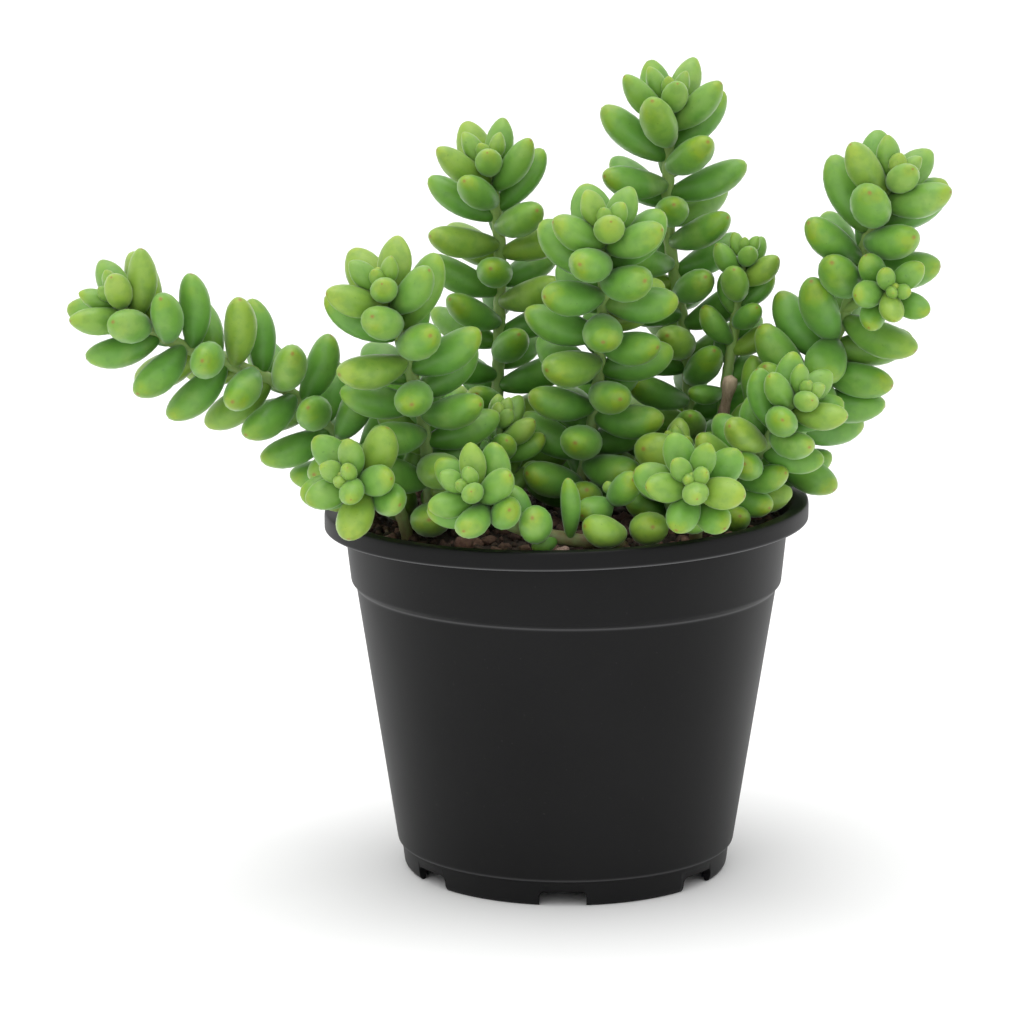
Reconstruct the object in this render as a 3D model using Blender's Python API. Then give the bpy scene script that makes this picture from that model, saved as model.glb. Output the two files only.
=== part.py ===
"""Potted burro's tail: a trailing stonecrop with plump leaves, rooted in a 13 cm nursery pot.

The pot stands on Z = 0 with its axis on Z. -Y is the front. All sizes below are in millimetres and
become metres when a mesh is made.
"""

import bpy
import bmesh
import numpy as np

MM = 0.001

# Pot
POT_SIDES = 36
FOOT_RADIUS = 43.9
FOOT_STEP = 7.2
BODY_BOTTOM_RADIUS = 45.6
BODY_TOP_RADIUS = 56.6
SHOULDER_HEIGHT = 77.8
BAND_BOTTOM_RADIUS = 57.9
BAND_TOP_RADIUS = 59.6
RIM_RADIUS = 65.0
RIM_INNER_RADIUS = 61.2
RIM_UNDERSIDE = 95.1
RIM_TOP = 100.0
RIM_TILT = 1.7
WALL = 1.2
STAND_RADIUS = 24.0
RECESS_HEIGHT = 3.0
FLOOR = 1.5
NOTCH_WIDTH = 12.4
NOTCH_HEIGHT = 4.0
NOTCH_ANGLES = (-1.6, 53.1, 103.4, 153.7, 204.0, 254.2, 304.5)
DRAIN_RADIUS = 3.5
DRAIN_CIRCLE = 33.0

# Soil
SOIL_TOP = 96.0
SOIL_SURFACE = 95.6
SOIL_LUMP = 0.3
CLEAR = 0.35
SOCKET_CLEAR = 0.65

# Growth, shared by every shoot
GOLDEN_ANGLE = 137.5
STEM_SIDES = 5
STEM_STEP = 16.0
STEM_TURN = 12.0
SOCKET_SIDES = 6
LEAF_SIDES = 4
LEAF_RINGS = (0.30, 0.76)
LEAF_PEAK = 0.56
LEAF_NECK = 0.33
LEAF_DEPTH = 0.92
FLAT_TOP = 0.88
BUD_LEAVES = 4
BUD_RADIUS = 2.2
BALLS = np.array([0.22, 0.4, 0.56, 0.72, 0.86])
RIM_BEAD = (62.9, 97.4, 3.1)

GREEN = (0.20, 0.42, 0.12)
YOUNG_GREEN = (0.33, 0.55, 0.16)
LOOSE_GREEN = (0.27, 0.46, 0.08)
PLASTIC = (0.012, 0.012, 0.013)
EARTH = (0.045, 0.026, 0.017)
PUMICE = (0.20, 0.13, 0.10)
WOOD = (0.36, 0.26, 0.18)


def shoot(route, leaves, spacing, length, width, pitch=80, phase=0, bud=10, stem=1.7, extras=()):
    """One shoot: the points its stem runs through, how many leaves it holds and how they grow.

    extras are single old leaves on the bare stem, as (way along it, turn, pitch, length, width).
    """
    return dict(route=route, leaves=leaves, spacing=spacing, length=length, width=width, pitch=pitch,
                phase=phase, bud=bud, stem=stem, extras=extras)


SHOOTS = {
    "shoot_trailing": shoot([(-36, -6, 86), (-44, -7, 100), (-59, -8, 117), (-76, -13, 134), (-95, -20, 143),
                             (-109, -26, 151), (-118, -30, 160)], 44, 3.0, 20.5, 9.8, pitch=76, phase=20),
    "shoot_left": shoot([(-33, -20, 86), (-36, -22, 104), (-38, -27, 128), (-43, -33, 148), (-48, -41, 165.5)],
                        35, 3.1, 21, 10.5, pitch=84),
    "shoot_back_left": shoot([(-18, 18, 86), (-19, 20, 106), (-18, 22, 146), (-18, 20, 168), (-21, 13, 191)],
                             42, 3.2, 21.5, 9.6, pitch=80),
    "shoot_centre": shoot([(2, -6, 86), (3, -6, 101), (7, -9, 124), (9, -14, 148), (10, -29, 179.5)],
                          42, 2.9, 20.5, 11.0, pitch=86),
    "shoot_tall": shoot([(34, 20, 86), (34, 22, 104), (33, 26, 137), (28, 27, 170), (28, 19, 207)],
                        45, 3.2, 22.5, 9.8, pitch=80),
    "shoot_right": shoot([(44, 4, 86), (50, 5, 104), (62, 4, 125), (73, 0, 148), (79, -6, 171), (86, -13, 190.5)],
                         39, 3.4, 22, 11.2, pitch=76,
                         extras=((0.28, 200, 60, 18, 10.5), (0.46, 190, 74, 18, 10.8), (0.56, 176, 98, 17, 11.4))),
    "side_rosette": shoot([(74, -1, 152), (78, -6, 155.5), (82, -13, 158), (84.5, -24, 161)],
                          10, 2.2, 15, 7.6, pitch=72, bud=8, stem=1.3),
    "shoot_small": shoot([(40, 12, 86), (42, 14, 118), (45, 14, 142), (48, 10, 167)],
                         20, 3.2, 13.5, 7.4, pitch=72, bud=9, stem=1.5),
    "shoot_low_right": shoot([(38, -16, 86), (44, -22, 107), (52, -30, 122), (61, -40, 137)],
                             27, 2.7, 17, 8.8, pitch=80, extras=((0.36, 262, 92, 13, 8.4), (0.55, 38, 72, 17.5, 9.5))),
    "rosette_left": shoot([(-40, -26, 86), (-44, -32, 104), (-51, -43, 112), (-57, -54, 117)],
                          14, 2.0, 17, 9.2, pitch=80, bud=10),
    "rosette_front": shoot([(20, -43, 86), (13, -46, 98), (3, -49, 99.5), (-12, -53, 103.5), (-21, -57.5, 110),
                            (-26, -64, 117)], 13, 2.2, 16.5, 8.8, pitch=78, bud=10, stem=1.8,
                           extras=((0.44, 262, 84, 18.5, 6), (0.49, 150, 80, 8, 5.6), (0.58, 195, 80, 11.5, 9.8),
                                   (0.62, 330, 66, 13, 7.6))),
    "rosette_right": shoot([(33, -34, 86), (33, -42, 105), (32, -51, 111), (31, -63, 118.5)],
                           13, 2.0, 16.5, 9.0, pitch=80, bud=10, extras=((0.5, 180, 80, 12, 8.6),)),
    "shoot_inner_left": shoot([(-16, -12, 86), (-17, -13, 106), (-18, -15, 126)], 20, 2.4, 15, 8.2, pitch=78),
    "shoot_inner_right": shoot([(28, -14, 86), (28, -16, 104), (28.5, -19, 119)], 20, 2.3, 16, 8.8, pitch=80,
                               extras=((0.95, 177, 48, 15.5, 12.8),)),
    "sprout_front": shoot([(9, -33, 86), (9.5, -36, 98), (11, -38.5, 110.5)], 3, 2.4, 12, 8.0, pitch=80, bud=9,
                          extras=((0.88, 165, 60, 12, 8.8), (0.92, 262, 14, 15, 8.6))),
    "rosette_back": shoot([(6, 38, 86), (8, 44, 103), (9, 54, 112), (9, 64, 117)], 20, 2.4, 16.5, 8.8),
    "rosette_back_left": shoot([(-28, 32, 86), (-33, 38, 104), (-41, 48, 115), (-47, 57, 121)],
                               24, 2.4, 16.5, 8.8),
    "rosette_back_right": shoot([(32, 38, 86), (36, 44, 103), (44, 53, 110), (52, 60, 112)],
                                22, 2.4, 16.5, 8.8),
}

# Fallen leaves: neck, the way each points, length and width
LOOSE_LEAVES = {
    "loose_leaf_1": ((14.5, -51.6, 102.0), (-0.9, -0.5, 0.15), 12.5, 9.8),
    "loose_leaf_2": ((19.5, -41.9, 102.1), (0.15, -1.0, 0.06), 13.0, 10.2),
    "loose_leaf_3": ((-12.0, 46.0, 100.6), (0.9, 0.6, 0.05), 14.0, 8.0),
    "loose_leaf_4": ((-47.0, 14.0, 100.4), (-0.3, 1.0, 0.05), 13.0, 8.0),
    "loose_leaf_5": ((44.7, 23.1, 101.2), (0.2, 1.0, 0.05), 12.0, 7.4),
}

# Lumps of pumice lying on the soil: centre across, size
PUMICE_LUMPS = {
    "pumice_1": ((-1.6, -55.4), 4.6),
    "pumice_2": ((-27.0, -46.0), 5.0),
    "pumice_3": ((27.2, -48.1), 4.4),
    "pumice_4": ((42.0, -38.0), 4.2),
    "pumice_5": ((-50.0, 2.0), 4.6),
    "pumice_6": ((20.0, 30.0), 5.2),
    "pumice_7": ((-22.0, 50.0), 4.4),
    "pumice_8": ((52.0, 20.0), 5.0),
}

STUB_ROUTE = [(37.5, 4, 86), (40, 4, 110), (44, 3, 133)]
STUB_RADIUS = 1.9
STUB_SPACE = 0.5
LUMP_SHAPE = (1, 0.85, 0.75)
LUMP_REACH = 0.56
FIRST_SEED = 100


def material(name, colour, roughness):
    """A plain Principled material."""
    made = bpy.data.materials.new(name)
    made.use_nodes = True
    shader = made.node_tree.nodes["Principled BSDF"]
    shader.inputs["Base Color"].default_value = (*colour, 1)
    shader.inputs["Roughness"].default_value = roughness
    return made


def node(name, points, faces, look, smooth=50):
    """A named object from millimetre points and faces."""
    mesh = bpy.data.meshes.new(name)
    mesh.from_pydata((np.asarray(points) * MM).tolist(), [], faces)
    mesh.update()
    mesh.shade_smooth()
    mesh.set_sharp_from_angle(angle=np.radians(smooth))
    mesh.materials.append(look)
    made = bpy.data.objects.new(name, mesh)
    bpy.context.scene.collection.objects.link(made)
    return made


def cut(body, name, points, faces):
    """Cuts a closed shape out of a node, and keeps the cutter as a wire guide."""
    cutter = node(name, points, faces, body.data.materials[0])
    cutter.hide_render = True
    cutter.display_type = "WIRE"
    modifier = body.modifiers.new(name, "BOOLEAN")
    modifier.operation = "DIFFERENCE"
    modifier.solver = "EXACT"
    modifier.use_self = True
    modifier.object = cutter


def turned(profile, sides):
    """Points and faces of a closed profile of (radius, height), turned about Z. Both ends are on the axis."""
    angle = 2 * np.pi * np.arange(sides) / sides
    inner = np.array(profile[1:-1], float)
    x = inner[:, :1] * np.sin(angle)
    y = -inner[:, :1] * np.cos(angle)
    z = np.repeat(inner[:, 1:], sides, axis=1)
    points = np.vstack([np.stack([x, y, z], axis=-1).reshape(-1, 3),
                        [(0, 0, profile[0][1]), (0, 0, profile[-1][1])]])
    rows = len(inner)
    first, last = rows * sides, rows * sides + 1
    faces = []
    for j in range(sides):
        k = (j + 1) % sides
        faces.append((first, k, j))
        for i in range(rows - 1):
            faces.append((i * sides + j, i * sides + k, (i + 1) * sides + k, (i + 1) * sides + j))
        faces.append(((rows - 1) * sides + j, (rows - 1) * sides + k, last))
    return points, faces


def tube(route, radii, sides):
    """Points and faces of a round bar along a route, closed at both ends."""
    arc, along, across = frames(route)
    third = np.cross(along, across)
    angle = 2 * np.pi * np.arange(sides) / sides
    ring = np.cos(angle)[None, :, None] * across[:, None] + np.sin(angle)[None, :, None] * third[:, None]
    points = (route[:, None] + np.asarray(radii)[:, None, None] * ring).reshape(-1, 3)
    rows = len(route)
    faces = [tuple(range(sides))[::-1], tuple(range((rows - 1) * sides, rows * sides))]
    for i in range(rows - 1):
        for j in range(sides):
            k = (j + 1) % sides
            faces.append((i * sides + j, i * sides + k, (i + 1) * sides + k, (i + 1) * sides + j))
    return points, faces


def joined(shapes):
    """Several closed shapes as one list of points and faces."""
    points, faces, count = [], [], 0
    for shape_points, shape_faces in shapes:
        points.append(shape_points)
        faces += [tuple(v + count for v in face) for face in shape_faces]
        count += len(shape_points)
    return np.vstack(points), faces


# Growth

def unit(v):
    """Vectors scaled to length one."""
    return v / np.linalg.norm(v, axis=-1, keepdims=True)


def smooth_route(points, steps=24):
    """A Catmull-Rom curve through the points, with both ends mirrored."""
    p = np.array(points, float)
    p = np.vstack([2 * p[0] - p[1], p, 2 * p[-1] - p[-2]])
    t = np.linspace(0, 1, steps, endpoint=False)[:, None]
    spans = [0.5 * (2 * b + (c - a) * t + (2 * a - 5 * b + 4 * c - d) * t**2 + (3 * b - a - 3 * c + d) * t**3)
             for a, b, c, d in zip(p, p[1:], p[2:], p[3:])]
    return np.vstack([*spans, p[-2][None]])


def frames(route):
    """The length along a route, its direction, and a side direction carried along it without twist."""
    arc = np.concatenate([[0], np.cumsum(np.linalg.norm(np.diff(route, axis=0), axis=1))])
    along = unit(np.gradient(route, arc, axis=0))
    side = unit(np.cross(along[0], (1.0, 0, 0)))
    sides = [side]
    for direction in along[1:]:
        side = unit(side - direction * (side @ direction))
        sides.append(side)
    return arc, along, np.array(sides)


def at(values, arc, s):
    """Values read along the route at the lengths s."""
    return np.stack([np.interp(s, arc, values[:, i]) for i in range(3)], axis=-1)


def grow(spec, seed):
    """The leaves of a shoot before they touch anything, from the tip down.

    Each leaf stands a golden angle further round the stem than the last. Near the tip they are short,
    close together and almost upright, and they lengthen, open and space out as they ripen.
    """
    rng = np.random.default_rng(seed)
    route = smooth_route(spec["route"])
    arc, along, side = frames(route)
    k = np.arange(spec["leaves"])
    count, bud = len(k), spec["bud"]
    back = spec["spacing"] * k**2 / (k + 1.1 * bud) + 0.3
    age = np.clip(k / bud, 0, 1)
    opened = np.clip(k / (1.5 * bud), 0, 1)**1.1
    size = (0.2 + 0.8 * np.sin(age * np.pi / 2)**1.1) * (1 + rng.uniform(-0.06, 0.06, count))
    pitch = 12 + (spec["pitch"] - 12) * opened + rng.uniform(-5, 5, count) * opened
    turn = spec["phase"] + GOLDEN_ANGLE * k + rng.uniform(-7, 7, count)
    length = spec["length"] * size
    width = spec["width"] * np.clip(0.1 + 0.9 * size**0.8, 0, 1.1) * (1 + rng.uniform(-0.05, 0.05, count))
    bend = 0.10 + 0.10 * rng.random(count)
    s = arc[-1] - back
    if spec["extras"]:
        way, more_turn, more_pitch, more_length, more_width = np.array(spec["extras"], float).T
        s = np.concatenate([s, way * arc[-1]])
        turn = np.concatenate([turn, more_turn])
        pitch = np.concatenate([pitch, more_pitch])
        length = np.concatenate([length, more_length])
        width = np.concatenate([width, more_width])
        age = np.concatenate([age, np.ones(len(way))])
        bend = np.concatenate([bend, np.full(len(way), 0.1)])
    pitch, turn = np.radians(pitch)[:, None], np.radians(turn)[:, None]
    t = unit(at(along, arc, s))
    n = at(side, arc, s)
    n = unit(n - t * np.sum(n * t, axis=1, keepdims=True))
    out = np.cos(turn) * n + np.sin(turn) * np.cross(t, n)
    neck = at(route, arc, s) + out * (stem_radius(spec, arc[-1] - s) * 0.12)[:, None]
    keep = (neck[:, 2] > SOIL_TOP + 1.5) & (s > 0)
    made = dict(neck=neck, dir=np.cos(pitch) * t + np.sin(pitch) * out, up=np.sin(pitch) * t - np.cos(pitch) * out,
                length=length, width=width, age=age, bend=bend, order=np.arange(len(s)))
    return {key: value[keep] for key, value in made.items()}


def stem_radius(spec, back):
    """The stem's radius at a length back from its tip."""
    return spec["stem"] * (0.45 + 0.55 * np.clip(back / 14, 0, 1))


def half_width(x, blunt):
    """A leaf's half width at x from neck (0) to tip (1), as a share of its greatest half width."""
    rise = LEAF_NECK + (1 - LEAF_NECK) * np.sin(np.clip(x / LEAF_PEAK, 0, 1) * np.pi / 2)
    q = np.clip((x - LEAF_PEAK) / (1 - LEAF_PEAK), 0, 1)
    return np.where(x < LEAF_PEAK, rise, np.sqrt(np.clip(1 - q**blunt, 0, 1)))


def leaf_balls(leaf, size=1.0):
    """Five balls that fill each leaf from neck to tip: their centres and radii."""
    radius = leaf["width"][:, None] / 2 * half_width(BALLS[None], (1.6 + 0.9 * leaf["age"])[:, None]) * size
    length = leaf["length"][:, None] * size
    centre = (leaf["neck"][:, None] + (length * BALLS)[..., None] * leaf["dir"][:, None]
              + (length * leaf["bend"][:, None] * BALLS**2)[..., None] * leaf["up"][:, None])
    return centre, radius


def clear_of_balls(centre, radius, others, other_radius, gap):
    """For each ball, the push that clears it of the other ball it is deepest in, and that depth."""
    squared = (centre**2).sum(-1)[:, None] + (others**2).sum(-1)[None] - 2 * centre @ others.T
    distance = np.sqrt(np.maximum(squared, 1e-6))
    depth = radius[:, None] + other_radius[None] + gap - distance
    rows, worst = np.arange(len(centre)), depth.argmax(axis=1)
    deepest = np.maximum(depth[rows, worst], 0)
    away = (centre - others[worst]) / distance[rows, worst][:, None]
    return away * deepest[:, None], deepest


def clear_of_pot(centre, radius, gap):
    """The push that clears each ball of the soil and of the pot's rim, and its depth."""
    bead_radius, bead_height, bead_reach = RIM_BEAD
    rho = np.hypot(centre[:, 0], centre[:, 1])
    out = np.stack([centre[:, 0] / rho, centre[:, 1] / rho, 0 * rho], axis=1)
    sunk = np.maximum(SOIL_TOP + radius + gap - centre[:, 2], 0) * (rho < 60)
    across = rho - bead_radius
    above = centre[:, 2] - bead_height - RIM_TILT * centre[:, 0] / RIM_RADIUS
    distance = np.hypot(across, above) + 1e-6
    inside = np.maximum(bead_reach + radius + gap - distance, 0)
    push = out * (across / distance * inside)[:, None]
    push[:, 2] += above / distance * inside + sunk
    return push, np.maximum(sunk, inside)


def settle(leaf, others, other_radius, gap=0.25, rounds=60, reach=0.55):
    """Turns each leaf about its neck until it clears everything already placed, and the soil and rim.

    A leaf that still has no room grows smaller, and one with none at all is left off.
    """
    count, balls = len(leaf["length"]), len(BALLS)
    start = leaf["dir"].copy()
    near = np.all(np.abs(others - leaf["neck"].mean(0)) < np.ptp(leaf["neck"], axis=0) / 2 + 45, axis=1)
    others, other_radius = others[near], other_radius[near]
    same = np.repeat(np.arange(count), balls)
    for _ in range(rounds):
        centre, radius = leaf_balls(leaf)
        centre, radius = centre.reshape(-1, 3), radius.reshape(-1)
        push = clear_of_balls(centre, radius, others, other_radius, gap)[0] + clear_of_pot(centre, radius, gap)[0]
        squared = (centre**2).sum(-1)[:, None] + (centre**2).sum(-1)[None] - 2 * centre @ centre.T
        distance = np.sqrt(np.maximum(squared, 1e-6))
        depth = np.where(same[:, None] == same[None], -1, 0.82 * (radius[:, None] + radius[None]) - distance)
        rows, worst = np.arange(len(centre)), depth.argmax(axis=1)
        deepest = np.maximum(depth[rows, worst], 0) / distance[rows, worst]
        push += 0.4 * (centre - centre[worst]) * deepest[:, None]
        lever = np.tile(BALLS, count) * np.repeat(leaf["length"], balls)
        turn = (push / lever[:, None]).reshape(count, balls, 3) * BALLS[None, :, None]
        leaf["dir"] = unit(leaf["dir"] + 0.56 * turn.sum(axis=1))
        away = leaf["dir"] - start
        far = np.maximum(np.linalg.norm(away, axis=1, keepdims=True), 1e-6)
        leaf["dir"] = unit(start + away * np.minimum(1, (0.2 + reach * leaf["age"][:, None]) / far))
        leaf["up"] = unit(leaf["up"] - leaf["dir"] * np.sum(leaf["up"] * leaf["dir"], axis=1, keepdims=True))
    size = np.ones(count)
    for smaller in (0.92, 0.84, 0.76, 0.68, 0.0):
        centre, radius = leaf_balls(leaf, size[:, None])
        centre, radius = centre.reshape(-1, 3), radius.reshape(-1)
        depth = np.maximum(clear_of_balls(centre, radius, others, other_radius, 0.12)[1],
                           clear_of_pot(centre, radius, 0.1)[1])
        size = np.where(depth.reshape(count, balls).max(axis=1) > 0, smaller, size)
    leaf["length"], leaf["width"] = leaf["length"] * size, leaf["width"] * size
    return {key: value[size > 0] for key, value in leaf.items()}


def leaf_shapes(leaf):
    """The closed shapes of a set of leaves: round below, flatter on top, narrow at the neck."""
    angle = 2 * np.pi * np.arange(LEAF_SIDES) / LEAF_SIDES
    rings = np.array(LEAF_RINGS)[None, :, None]
    share = half_width(rings, (1.6 + 0.9 * leaf["age"])[:, None, None])
    half, length = leaf["width"][:, None, None] / 2, leaf["length"][:, None, None]
    y = half * share * np.cos(angle)
    z = LEAF_DEPTH * half * share * np.where(np.sin(angle) > 0, FLAT_TOP, 1) * np.sin(angle)
    z = z + length * leaf["bend"][:, None, None] * rings**2
    x = length * rings + 0 * y
    side = np.cross(leaf["dir"], leaf["up"])
    body = (leaf["neck"][:, None, None] + x[..., None] * leaf["dir"][:, None, None]
            + y[..., None] * side[:, None, None] + z[..., None] * leaf["up"][:, None, None])
    tip = leaf["neck"] + leaf["length"][:, None] * (leaf["dir"] + leaf["bend"][:, None] * leaf["up"])
    n, m = LEAF_SIDES, len(LEAF_RINGS)
    faces = []
    for j in range(n):
        k = (j + 1) % n
        faces.append((n * m, j, k))
        faces += [(i * n + j, (i + 1) * n + j, (i + 1) * n + k, i * n + k) for i in range(m - 1)]
        faces.append(((m - 1) * n + j, n * m + 1, (m - 1) * n + k))
    return [(np.vstack([body[i].reshape(-1, 3), leaf["neck"][i], tip[i]]), faces) for i in range(len(tip))]


def grown_together(name, shapes, look):
    """One closed body from shapes that grew into each other."""
    made = node(name, *shapes[0], look)
    rest = node(name + "_rest", *joined(shapes[1:]), look)
    union = made.modifiers.new("grown", "BOOLEAN")
    union.operation = "UNION"
    union.solver = "EXACT"
    union.use_self = True
    union.object = rest
    graph = bpy.context.evaluated_depsgraph_get()
    mesh = bpy.data.meshes.new_from_object(made.evaluated_get(graph), depsgraph=graph)
    made.modifiers.clear()
    made.data = mesh
    bpy.data.objects.remove(rest)
    shape = bmesh.new()
    shape.from_mesh(mesh)
    bmesh.ops.remove_doubles(shape, verts=shape.verts, dist=0.001 * MM)
    bmesh.ops.dissolve_degenerate(shape, edges=shape.edges, dist=0.001 * MM)
    groups, seen = [], set()
    for face in shape.faces:
        if face in seen:
            continue
        group, front = [face], [face]
        seen.add(face)
        while front:
            for edge in front.pop().edges:
                if len(edge.link_faces) != 2:
                    continue
                for other in edge.link_faces:
                    if other not in seen:
                        seen.add(other)
                        group.append(other)
                        front.append(other)
        groups.append(group)
    groups.sort(key=len)
    bmesh.ops.delete(shape, geom=[face for group in groups[:-1] for face in group], context="FACES")
    bmesh.ops.triangulate(shape, faces=shape.faces)
    shape.to_mesh(mesh)
    shape.free()
    mesh.shade_smooth()
    mesh.set_sharp_from_angle(angle=np.radians(50))
    return made


def stem_shape(spec):
    """The stem as a bar that narrows toward its tip."""
    route = smooth_route(spec["route"])
    arc, along, _ = frames(route)
    turned_by = np.degrees(np.linalg.norm(np.diff(along, axis=0), axis=1).sum())
    s = np.linspace(0, arc[-1] - 1.0, 3 + int(arc[-1] / STEM_STEP) + int(turned_by / STEM_TURN))
    return tube(at(route, arc, s), stem_radius(spec, arc[-1] - s), STEM_SIDES)


def bud_shape(spec):
    """The closed bud of youngest leaves at the tip, as one pointed lump."""
    route = smooth_route(spec["route"])
    arc, along, _ = frames(route)
    s = arc[-1] - np.array([4.5, 3.0, 0.5])
    tail = route[-1] + along[-1] * 1.6
    path = np.vstack([at(route, arc, s), tail])
    return tube(path, BUD_RADIUS * np.array([0.45, 0.95, 1.0, 0.35]), LEAF_SIDES)


def tilted(points):
    """Raises the pot's upper part toward +X, as its thin rim is pulled out of level."""
    points = points.copy()
    share = np.clip((points[:, 2] - SHOULDER_HEIGHT - 4) / (RIM_TOP - SHOULDER_HEIGHT - 8), 0, 1)
    points[:, 2] += RIM_TILT * share * points[:, 0] / RIM_RADIUS
    return points


# Model

for old in list(bpy.data.objects):
    bpy.data.objects.remove(old)

plastic = material("pot_plastic", PLASTIC, 0.42)
earth = material("soil", EARTH, 0.95)
pumice = material("pumice", PUMICE, 0.9)
wood = material("dry_stem", WOOD, 0.85)
green = material("leaf", GREEN, 0.42)
young_green = material("young_leaf", YOUNG_GREEN, 0.42)
loose_green = material("loose_leaf", LOOSE_GREEN, 0.4)


# Pot: a thin wall with a standing disc, a raised ring with drain holes, a notched foot, a body that
# widens upward, a shoulder, a band and a rolled rim
POT_OUTSIDE = [(0, 0), (STAND_RADIUS, 0), (STAND_RADIUS + 1.2, RECESS_HEIGHT),
               (FOOT_RADIUS - 2.4, RECESS_HEIGHT), (FOOT_RADIUS - 1.8, 0.4), (FOOT_RADIUS - 1.5, 0),
               (FOOT_RADIUS - 0.6, 0), (FOOT_RADIUS, 0.8), (FOOT_RADIUS + 0.8, FOOT_STEP - 0.3),
               (BODY_BOTTOM_RADIUS, FOOT_STEP), (BODY_TOP_RADIUS, SHOULDER_HEIGHT),
               (BAND_BOTTOM_RADIUS - 0.3, SHOULDER_HEIGHT + 0.9), (BAND_BOTTOM_RADIUS, SHOULDER_HEIGHT + 2.2),
               (BAND_TOP_RADIUS, RIM_UNDERSIDE), (RIM_RADIUS - 0.5, RIM_UNDERSIDE),
               (RIM_RADIUS, RIM_UNDERSIDE + 0.8), (RIM_RADIUS, RIM_TOP - 1.2), (RIM_RADIUS - 0.9, RIM_TOP)]
POT_INSIDE = [(RIM_INNER_RADIUS, RIM_TOP), (RIM_INNER_RADIUS - 1.2, RIM_TOP - 1.6),
              (BAND_TOP_RADIUS - WALL, RIM_UNDERSIDE), (BAND_BOTTOM_RADIUS - WALL, SHOULDER_HEIGHT + 2.2),
              (BODY_TOP_RADIUS - WALL, SHOULDER_HEIGHT), (BODY_BOTTOM_RADIUS - WALL, FOOT_STEP),
              (FOOT_RADIUS - 0.8, RECESS_HEIGHT + FLOOR), (STAND_RADIUS + 1.5, RECESS_HEIGHT + FLOOR),
              (STAND_RADIUS - 0.3, FLOOR), (0, FLOOR)]
pot_points, pot_faces = turned(POT_OUTSIDE + POT_INSIDE, POT_SIDES)
pot = node("pot", tilted(pot_points), pot_faces, plastic, smooth=35)

notches = []
for angle in NOTCH_ANGLES:
    half, corner, top = NOTCH_WIDTH / 2, 1.3, NOTCH_HEIGHT
    outline = [(-half, -2), (half, -2), (half, top - corner), (half - 0.4, top - 0.4), (half - corner, top),
               (corner - half, top), (0.4 - half, top - 0.4), (-half, top - corner)]
    near, far = FOOT_RADIUS - 2.9, FOOT_RADIUS + 4
    turn = np.radians(angle)
    out = np.array([np.sin(turn), -np.cos(turn), 0])
    side = np.array([np.cos(turn), np.sin(turn), 0])
    points = [reach * out + a * side + np.array([0, 0, b]) for reach in (near, far) for a, b in outline]
    n = len(outline)
    faces = [tuple(range(n))[::-1], tuple(range(n, 2 * n))]
    faces += [(j, (j + 1) % n, n + (j + 1) % n, n + j) for j in range(n)]
    notches.append((np.array(points), faces))
    centre = DRAIN_CIRCLE * out
    drain, drain_faces = turned([(0, -1), (DRAIN_RADIUS, -1), (DRAIN_RADIUS, 6), (0, 6)], 12)
    notches.append((drain + centre, drain_faces))
cut(pot, "notch_cutter", *joined(notches))

# Soil: a plug that fills the pot, with a lumpy top and a socket round each buried stem
rng = np.random.default_rng(5)
top_rings = [(BAND_TOP_RADIUS - WALL - CLEAR - 0.1, SOIL_SURFACE), (38.0, SOIL_SURFACE), (0, SOIL_SURFACE)]
soil_profile = [(0, FLOOR + CLEAR), (STAND_RADIUS - 0.8, FLOOR + CLEAR), (STAND_RADIUS + 1.3, RECESS_HEIGHT + FLOOR + CLEAR),
                (FOOT_RADIUS - 1.3, RECESS_HEIGHT + FLOOR + CLEAR), (BODY_BOTTOM_RADIUS - WALL - CLEAR, FOOT_STEP + 0.3),
                (BODY_TOP_RADIUS - WALL - CLEAR, SHOULDER_HEIGHT + 0.4),
                (BAND_BOTTOM_RADIUS - WALL - CLEAR, SHOULDER_HEIGHT + 2.9)] + top_rings
soil_points, soil_faces = turned(soil_profile, POT_SIDES)
on_top = soil_points[:, 2] > SOIL_SURFACE - 0.1
soil_points[on_top, 2] += rng.uniform(-SOIL_LUMP, SOIL_LUMP, on_top.sum())
soil = node("soil", soil_points, soil_faces, earth)

sockets = []
for spec in [*SHOOTS.values(), dict(route=STUB_ROUTE, stem=STUB_RADIUS)]:
    if spec["route"][0][2] > SOIL_TOP:
        continue
    route = smooth_route(spec["route"])
    below = route[route[:, 2] < SOIL_TOP + 4][::4]
    below = np.vstack([2 * below[0] - below[1], below])
    sockets.append(tube(below, np.full(len(below), spec["stem"] + SOCKET_CLEAR), SOCKET_SIDES))
cut(soil, "socket_cutter", *joined(sockets))

# The dried stub of an old cut stem
stub_route = smooth_route(STUB_ROUTE, 4)
node("dry_stub", *tube(stub_route, np.append(np.full(len(stub_route) - 1, STUB_RADIUS), STUB_RADIUS * 0.8), 8), wood)


# Everything placed so far, as balls that the leaves of each shoot keep clear of
stems = {name: smooth_route(spec["route"], 6) for name, spec in SHOOTS.items()}
placed = [smooth_route(STUB_ROUTE, 8)]
placed_radius = [np.full(len(placed[0]), STUB_RADIUS + STUB_SPACE)]

# Fallen leaves
for name, (neck, way, length, width) in LOOSE_LEAVES.items():
    way = unit(np.array(way))
    up = unit(np.cross(np.cross(way, (0, 0, 1.0)), way))
    leaf = dict(neck=np.array([neck]), dir=way[None], up=up[None], length=np.array([length]),
                width=np.array([width]), age=np.ones(1), bend=np.full(1, 0.12))
    centre, radius = leaf_balls(leaf)
    node(name, *leaf_shapes(leaf)[0], loose_green)
    placed.append(centre.reshape(-1, 3))
    placed_radius.append(radius.reshape(-1))

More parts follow.
